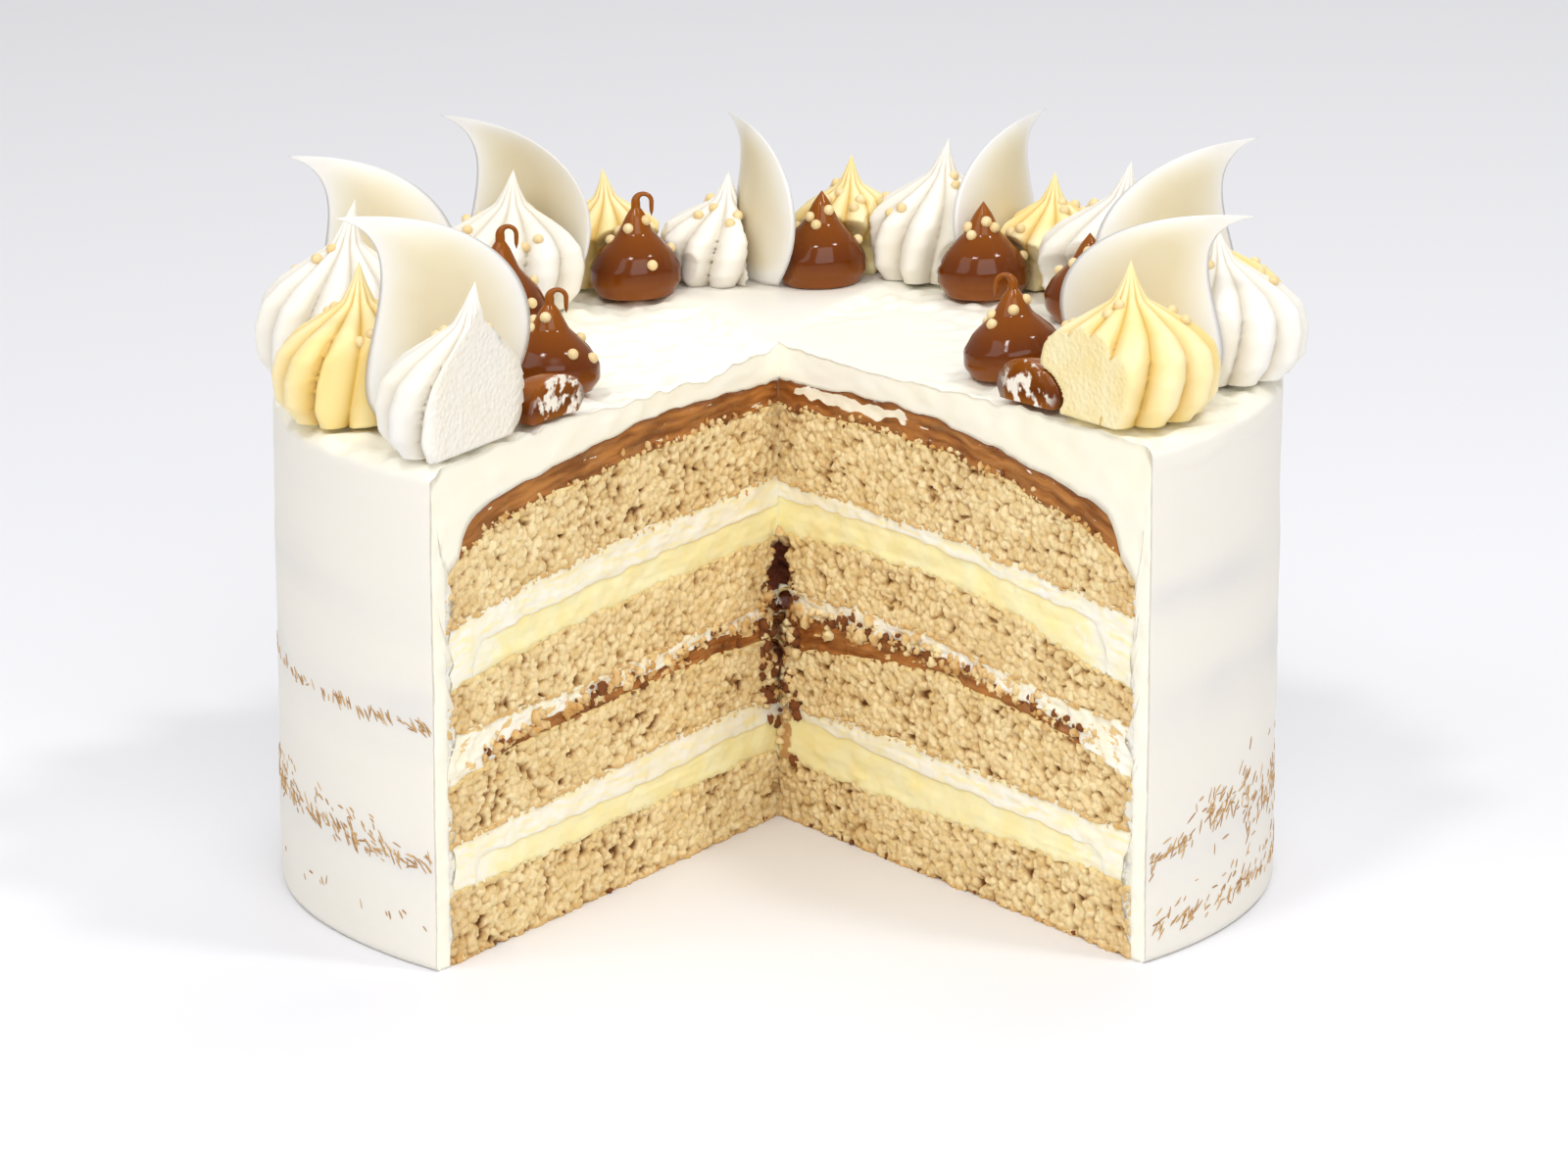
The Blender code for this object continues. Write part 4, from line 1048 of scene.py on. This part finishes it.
def star_point(row, number, around, up, bounds):
    """Points of a star kiss at angles and shares of its height: eleven round lobes with sharp grooves
    between them, turning as they climb, a little uneven from one to the next, drawn out to a thin tip."""
    radius, height, lean = row[3] * MM, row[4] * MM, row[5] * MM
    phase = around - number * START_TURN - TWIST * up
    lobe = np.abs(np.sin(LOBES * phase / 2)) ** 0.75
    which = np.floor(LOBES * phase / (2 * np.pi))
    uneven = scatter(np.stack([which % LOBES, 0 * which + number], axis=-1), 7)
    depth = GROOVE * (1 - 0.5 * smooth((up - 0.55) / 0.4)) * (0.75 + 0.5 * uneven)
    out = 0.996 * kiss_radius("star", radius, height, up * height) * (1 - depth + depth * lobe)
    out, knifed = pressed(out, around, up * height, bounds)
    return kiss_points(row, out, around, up, lean), knifed


def piped(name, base, fold, warm):
    """Piped cream: satin, faintly see-through, with painted shade darkening the grooves between its lobes
    to the colour fold; where a knife went through it is finely porous."""
    made, tree, shader = blank(name)
    at = add(tree, "TexCoord").outputs["Object"]
    groove_shade_node = add(tree, "Attribute", attribute_name="fold").outputs["Fac"]
    cut_node = add(tree, "Attribute", attribute_name="cut").outputs["Fac"]
    cloud = add(tree, "TexNoise", {"Vector": at, "Scale": 75.0, "Detail": 3.0})
    tone = add(tree, "MapRange", {"Value": cloud, "From Min": 0.35, "From Max": 0.7})
    tint = add(tree, "Mix", {0: tone, 6: base, 7: warm}, data_type="RGBA")
    groove_shaded = add(tree, "Mix", {0: groove_shade_node, 6: tint, 7: fold}, data_type="RGBA")
    fine = add(tree, "TexNoise", {"Vector": at, "Scale": 480.0, "Detail": 3.0})
    pore = add(tree, "TexVoronoi", {"Vector": at, "Scale": 900.0})
    grain = add(tree, "Mix", {0: cut_node, 2: fine, 3: pore})
    lift = add(tree, "MapRange", {"Value": cut_node, "To Min": 0.14, "To Max": 0.6})
    bump = add(tree, "Bump", {"Height": grain, "Strength": lift, "Distance": 0.4 * MM})
    look = {"Base Color": groove_shaded, "Roughness": 0.42, "Normal": bump}
    fill(shader, {**look, **seen_into(0.3, (1.0, 0.95, 0.8), 2)})
    return made


STAR_COLUMNS = 165
STAR_ROWS = 64
whipped = piped("whipped_cream", "F3F0E9", "D2C8B4", "F5EFE1")
tinted = piped("custard_whipped_cream", "F5DE98", "D6AC44", "FBEDC0")
around = np.linspace(0, 2 * np.pi, STAR_COLUMNS + 1)[None, :]
up = (1 - (1 - np.linspace(0, 1, STAR_ROWS + 1)) ** 1.1)[:, None]
pearl_seats = []
PEARLS_EACH = 8
STAR_KISSES = ((WHITE_KISSES, whipped, "whipped_white"), (YELLOW_KISSES, tinted, "whipped_yellow"))
for rows, finish, slot_name in STAR_KISSES:
    for number, row in enumerate(rows):
        bounds = pressing(row, "star")
        twisted = around + TWIST * up + number * START_TURN
        skin, knifed = star_point(row, number, twisted, up + 0 * around, bounds)
        # The fold note is 1 deep in the grooves between lobes and fades towards the tip and off the cut: the
        # material paints shade there.
        fold = 1 - np.abs(np.sin(LOBES * around / 2)) ** 0.6 + 0 * up
        notes = [("fold", [fold * smooth((1 - up) / 0.3) * (1 - knifed), 0.0]), ("cut", [knifed, 0.0])]
        settle(surface(row[0], closed(skin), finish, notes), row[0])
        # Four pairs of pearls, spread round the kiss and up it.
        for k in range(PEARLS_EACH):
            share_up = 0.5 + 0.045 * ((k // 2 * 3 + number) % 5) + 0.05 * (k % 2)
            turn_at = np.array([[number * 1.3 + k // 2 * 2.4 + 0.24 * (k % 2)]])
            seat_point, knife_there = star_point(row, number, turn_at, np.array([[share_up]]), bounds)
            if knife_there[0, 0] < 0.5:
                pearl_seats.append(seat_point[0, 0])


# The caramel kisses: fat drops of stiff caramel, very glossy, some with a fine strand that curls over from
# the tip. Two were cut through by the knife, with cream dragged over the cut.
DROP_COLUMNS = 72
DROP_ROWS = 48
HOOK_RADIUS = 1.7 * MM
STRAND = 0.62 * MM

glossy, tree, shader = blank("piped_caramel")
at = add(tree, "TexCoord").outputs["Object"]
high_node = add(tree, "Attribute", attribute_name="high").outputs["Fac"]
cut_node = add(tree, "Attribute", attribute_name="cut").outputs["Fac"]
swirl = add(tree, "TexNoise", {"Vector": at, "Scale": 120.0, "Detail": 2.0})
# Darkest in the middle of the drop; lighter towards the top, as lit from above: painted light; lighter amber
# at the foot: a painted glow of light thrown up from the icing.
tone = add(tree, "MapRange", {"Value": high_node, "From Min": 0.35, "From Max": 0.9})
painted_foot_glow = add(tree, "MapRange", {"Value": high_node, "From Min": 0.3, "From Max": 0.0, "To Max": 0.7})
smear = add(tree, "TexNoise", {"Vector": at, "Scale": 330.0, "Detail": 4.0})
smear_on = add(tree, "MapRange", {"Value": smear, "From Min": 0.49, "From Max": 0.56})
creamed = add(tree, "Math", {0: smear_on, 1: cut_node}, operation="MULTIPLY")
tint = "652E08"
for share, over in ((tone, "92500F"), (painted_foot_glow, "9E5A1C"), (creamed, "F7F0E4")):
    tint = add(tree, "Mix", {0: share, 6: tint, 7: over}, data_type="RGBA")
pull = add(tree, "Bump", {"Height": swirl, "Strength": 0.25, "Distance": 1.0 * MM})
gloss = add(tree, "MapRange", {"Value": creamed, "To Min": 0.1, "To Max": 0.6})
look = {"Base Color": tint, "Roughness": gloss, "Normal": pull}
fill(shader, {**look, **seen_into(0.06, (1.0, 0.45, 0.15), 2), "Specular IOR Level": 0.24})


def strand(row, height):
    """A fine round strand: it climbs on from the tip, over a half circle to one side, and hangs down."""
    hook = row[5]
    bend = np.linspace(-25, 200, 30)
    arc = np.radians(np.clip(bend, 0, 180))
    drop = np.clip(bend - 180, 0, None) / 20 * 3.2 * MM
    before = np.clip(-bend, 0, None) / 25 * 3.0 * MM
    x = hook * HOOK_RADIUS * (1 - np.cos(arc))
    z = height + HOOK_RADIUS * np.sin(arc) - drop - before
    thick = STRAND * (1.7 - 0.9 * smooth((bend + 25) / 120)) * np.sqrt(np.clip((201 - bend) / 12, 0.05, 1))
    way = np.stack([np.gradient(x), np.gradient(z)], axis=-1)
    way /= np.linalg.norm(way, axis=-1, keepdims=True)
    angle = np.linspace(0, 2 * np.pi, 13)[None, :]
    px = x[:, None] - way[:, 1:] * thick[:, None] * np.cos(angle)
    pz = z[:, None] + way[:, :1] * thick[:, None] * np.cos(angle)
    py = thick[:, None] * np.sin(angle)
    centre = spot(row[1], row[2])
    tube = np.stack([px + centre[0], py + centre[1] + AXIS_Y, pz + lid(*centre)], axis=-1)
    tube[:, -1] = tube[:, 0]
    tube[0] = tube[0].mean(axis=0)
    tube[-1] = tube[-1].mean(axis=0)
    return tube


around = np.linspace(0, 2 * np.pi, DROP_COLUMNS + 1)[None, :]
up = (1 - (1 - np.linspace(0, 1, DROP_ROWS + 1)) ** 1.15)[:, None]
for number, row in enumerate(CARAMEL_KISSES):
    radius, height = row[3] * MM, row[4] * MM
    kind = "button" if height < radius else "drop"
    bounds = pressing(row, kind)

    def drop_point(around, up):
        """Points of a drop: its outline, with one shallow spiral fold and a slightly uneven foot."""
        fold = 0.03 * np.cos(around - 2.5 * up + number) + 0.015 * np.cos(3 * around + 5 * up)
        out = kiss_radius(kind, radius, height, up * height) * (1 - 0.03 + fold)
        out, knifed = pressed(out, around, up * height, bounds)
        return kiss_points(row, out, around, up), knifed

    skin, knifed = drop_point(around + 0 * up, up + 0 * around)
    grids = closed(skin)
    notes = [("high", [up + 0 * around, 0.0]), ("cut", [knifed, 0.0])]
    if row[5]:
        grids.append(strand(row, height))
        notes = [(name, [*values, 1.0 if name == "high" else 0.0]) for name, values in notes]
    settle(surface(row[0], grids, glossy, notes), row[0])
    if kind == "drop":
        for k in range(PEARLS_EACH):
            share_up = 0.38 + 0.07 * ((k * 3 + number) % 7)
            seat_point, _ = drop_point(np.array([[number * 1.1 + k * 2.4]]), np.array([[share_up]]))
            pearl_seats.append(seat_point[0, 0])


# The pearls: sugar balls, crisp, with a warm gold-cream lustre, lying half sunk on the kisses.
PEARL_RADIUS = 1.2 * MM
pearl_sugar, tree, shader = blank("lustred_sugar")
at = add(tree, "TexCoord").outputs["Object"]
cloud = add(tree, "TexNoise", {"Vector": at, "Scale": 300.0, "Detail": 1.0})
tint = add(tree, "Mix", {0: cloud, 6: "DFBB77", 7: "F5E4B8"}, data_type="RGBA")
fill(shader, {"Base Color": tint, "Roughness": 0.28, **seen_into(0.2, (1.0, 0.7, 0.4), 1)})
ball = pebble(14, 8)
balls = [seat_point + PEARL_RADIUS * ball for seat_point in pearl_seats]
settle(surface("gold_pearls", balls, pearl_sugar))


# The petals: thin cupped shards of white chocolate, set upright, smooth, thinner towards their edges,
# with painted shade and a painted warm glow in the middle of the cup, whiter towards the edges.
PETAL_ROWS = 60
PETAL_COLUMNS = 26

chocolate, tree, shader = blank("white_chocolate")
at = add(tree, "TexCoord").outputs["Object"]
edge_node = add(tree, "Attribute", attribute_name="edge").outputs["Fac"]
cloud = add(tree, "TexNoise", {"Vector": at, "Scale": 55.0, "Detail": 3.0})
# Darker and warmer towards the middle of the cup: painted shade of the hollow with a painted warm glow
# through it; whiter towards the edges.
cup_shade_mix = add(tree, "Math", {0: cloud, 1: 0.5, 2: edge_node}, operation="MULTIPLY_ADD")
part = add(tree, "MapRange", {"Value": cup_shade_mix, "From Min": 0.3, "From Max": 1.15})
tint = add(tree, "Mix", {0: part, 6: "D9CDAE", 7: "F1EDE6"}, data_type="RGBA")
fine = add(tree, "TexNoise", {"Vector": at, "Scale": 500.0, "Detail": 3.0})
skin_bump = add(tree, "Bump", {"Height": fine, "Strength": 0.06, "Distance": 0.3 * MM})
look = {"Base Color": tint, "Roughness": 0.3, "Normal": skin_bump}
fill(shader, {**look, **seen_into(0.3, (1.0, 0.75, 0.45), 2.5)})
u = np.linspace(0, 1, PETAL_ROWS + 1)[:, None]
v = np.linspace(0, 1, PETAL_COLUMNS + 1)[None, :]
for number, row in enumerate(PETALS):
    ripple = 0.25 * MM * np.sin(7 * u + 3 * v + number) * smooth(u / 0.2) * (1 - u)
    lens = PETAL_THICK / 2 * (4 * v * (1 - v)) ** 0.5 * (1 - 0.6 * u) * (1 - u**6)
    skins = [petal_point(row, u + 0 * v, v + 0 * u, ripple + face * lens) for face in (-1, 1)]
    skins = [skin + (0, AXIS_Y, 0) for skin in skins]
    sole = np.stack([skins[0][0], skins[1][0]])
    # The edge note: 1 at the edges, foot and tip, 0 in the middle of the cup, where the material paints shade
    # and glow.
    edge = 1 - (4 * v * (1 - v)) ** 0.8 * smooth(u / 0.15) * smooth((1 - u) / 0.35)
    finished = surface(row[0], [*skins, sole], chocolate, [("edge", [edge, edge, 1.0])])
    settle(finished, row[0])


# Loose crumbs: bits of torn sponge that cling to the cut, thickest in the broken middle filling and round
# the hollow at the wedge's point, with a few darker toasted ones.
rng = np.random.default_rng(7)
CRUMB_GROUPS = (
    # how many, along from and to, the meeting they lie on, spread up and down in mm, size in mm, share of
    # dark ones
    (120, 2, 112, "on_caramel_mid", 2.2, 0.75, 0.25),
    (60, 3, 108, "on_caramel_mid", 2.4, 1.25, 0.12),
    (90, 2, 118, "on_sponge_4", 1.2, 0.65, 0.1),
    (40, 2, 118, "under_sponge_2", 0.7, 0.45, 0.0),
    (40, 2, 118, "under_sponge_4", 0.7, 0.45, 0.0),
    (40, 4, 122, "board", 0.5, 0.6, 0.1),
    (110, 0, 7, "on_sponge_2", 16.0, 1.2, 0.5),
)
crumb_ball = pebble(8, 5)
bits = []
toasted = []
for count, start, stop, name, spread_up, size, dark_share in CRUMB_GROUPS:
    for side in (0, 1):
        along = rng.uniform(start, stop, count) / CUT_LENGTH
        lift = rng.normal(0, spread_up / 2, count) * MM
        base = meeting(name, np.full(count, float(side)), along) + lift
        base = np.maximum(base, 0.6 * MM)
        centre = place(float(side), along, base, INSIDE_RADIUS)
        hollow_here = cavern(along * CUT_LENGTH * MM, base)
        centre = centre + inwards(side) * (hollow_here + 0.15 * MM)[:, None]
        scale = size * MM * rng.uniform(0.45, 1.15, (count, 1)) * rng.uniform(0.65, 1.25, (count, 3))
        toasted += list((rng.random(count) < dark_share) * 1.0)
        for k in range(count):
            rough = 1 + 0.65 * noise(crumb_ball * 2.3 + 3.7 * k, 5)
            rough[0], rough[-1] = rough[0, 0], rough[-1, 0]
            bits.append(np.clip(centre[k] + crumb_ball * rough[..., None] * scale[k], cad_low, cad_high))
loose, tree, shader = blank("loose_crumb")
at = add(tree, "TexCoord").outputs["Object"]
dark_node = add(tree, "Attribute", attribute_name="dark").outputs["Fac"]
fleck = add(tree, "TexNoise", {"Vector": at, "Scale": 260.0, "Detail": 2.0})
speck = add(tree, "MapRange", {"Value": fleck, "From Min": 0.35, "From Max": 0.68})
pale = add(tree, "Mix", {0: speck, 6: "CF9E58", 7: "F6E2AE"}, data_type="RGBA")
tint = add(tree, "Mix", {0: dark_node, 6: pale, 7: "7A4418"}, data_type="RGBA")
bump = add(tree, "Bump", {"Height": fleck, "Strength": 0.5, "Distance": 0.3 * MM})
fill(shader, {"Base Color": tint, "Roughness": 0.9, "Normal": bump})
settle(surface("loose_crumbs", bits, loose, [("dark", toasted)]))

low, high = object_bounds()
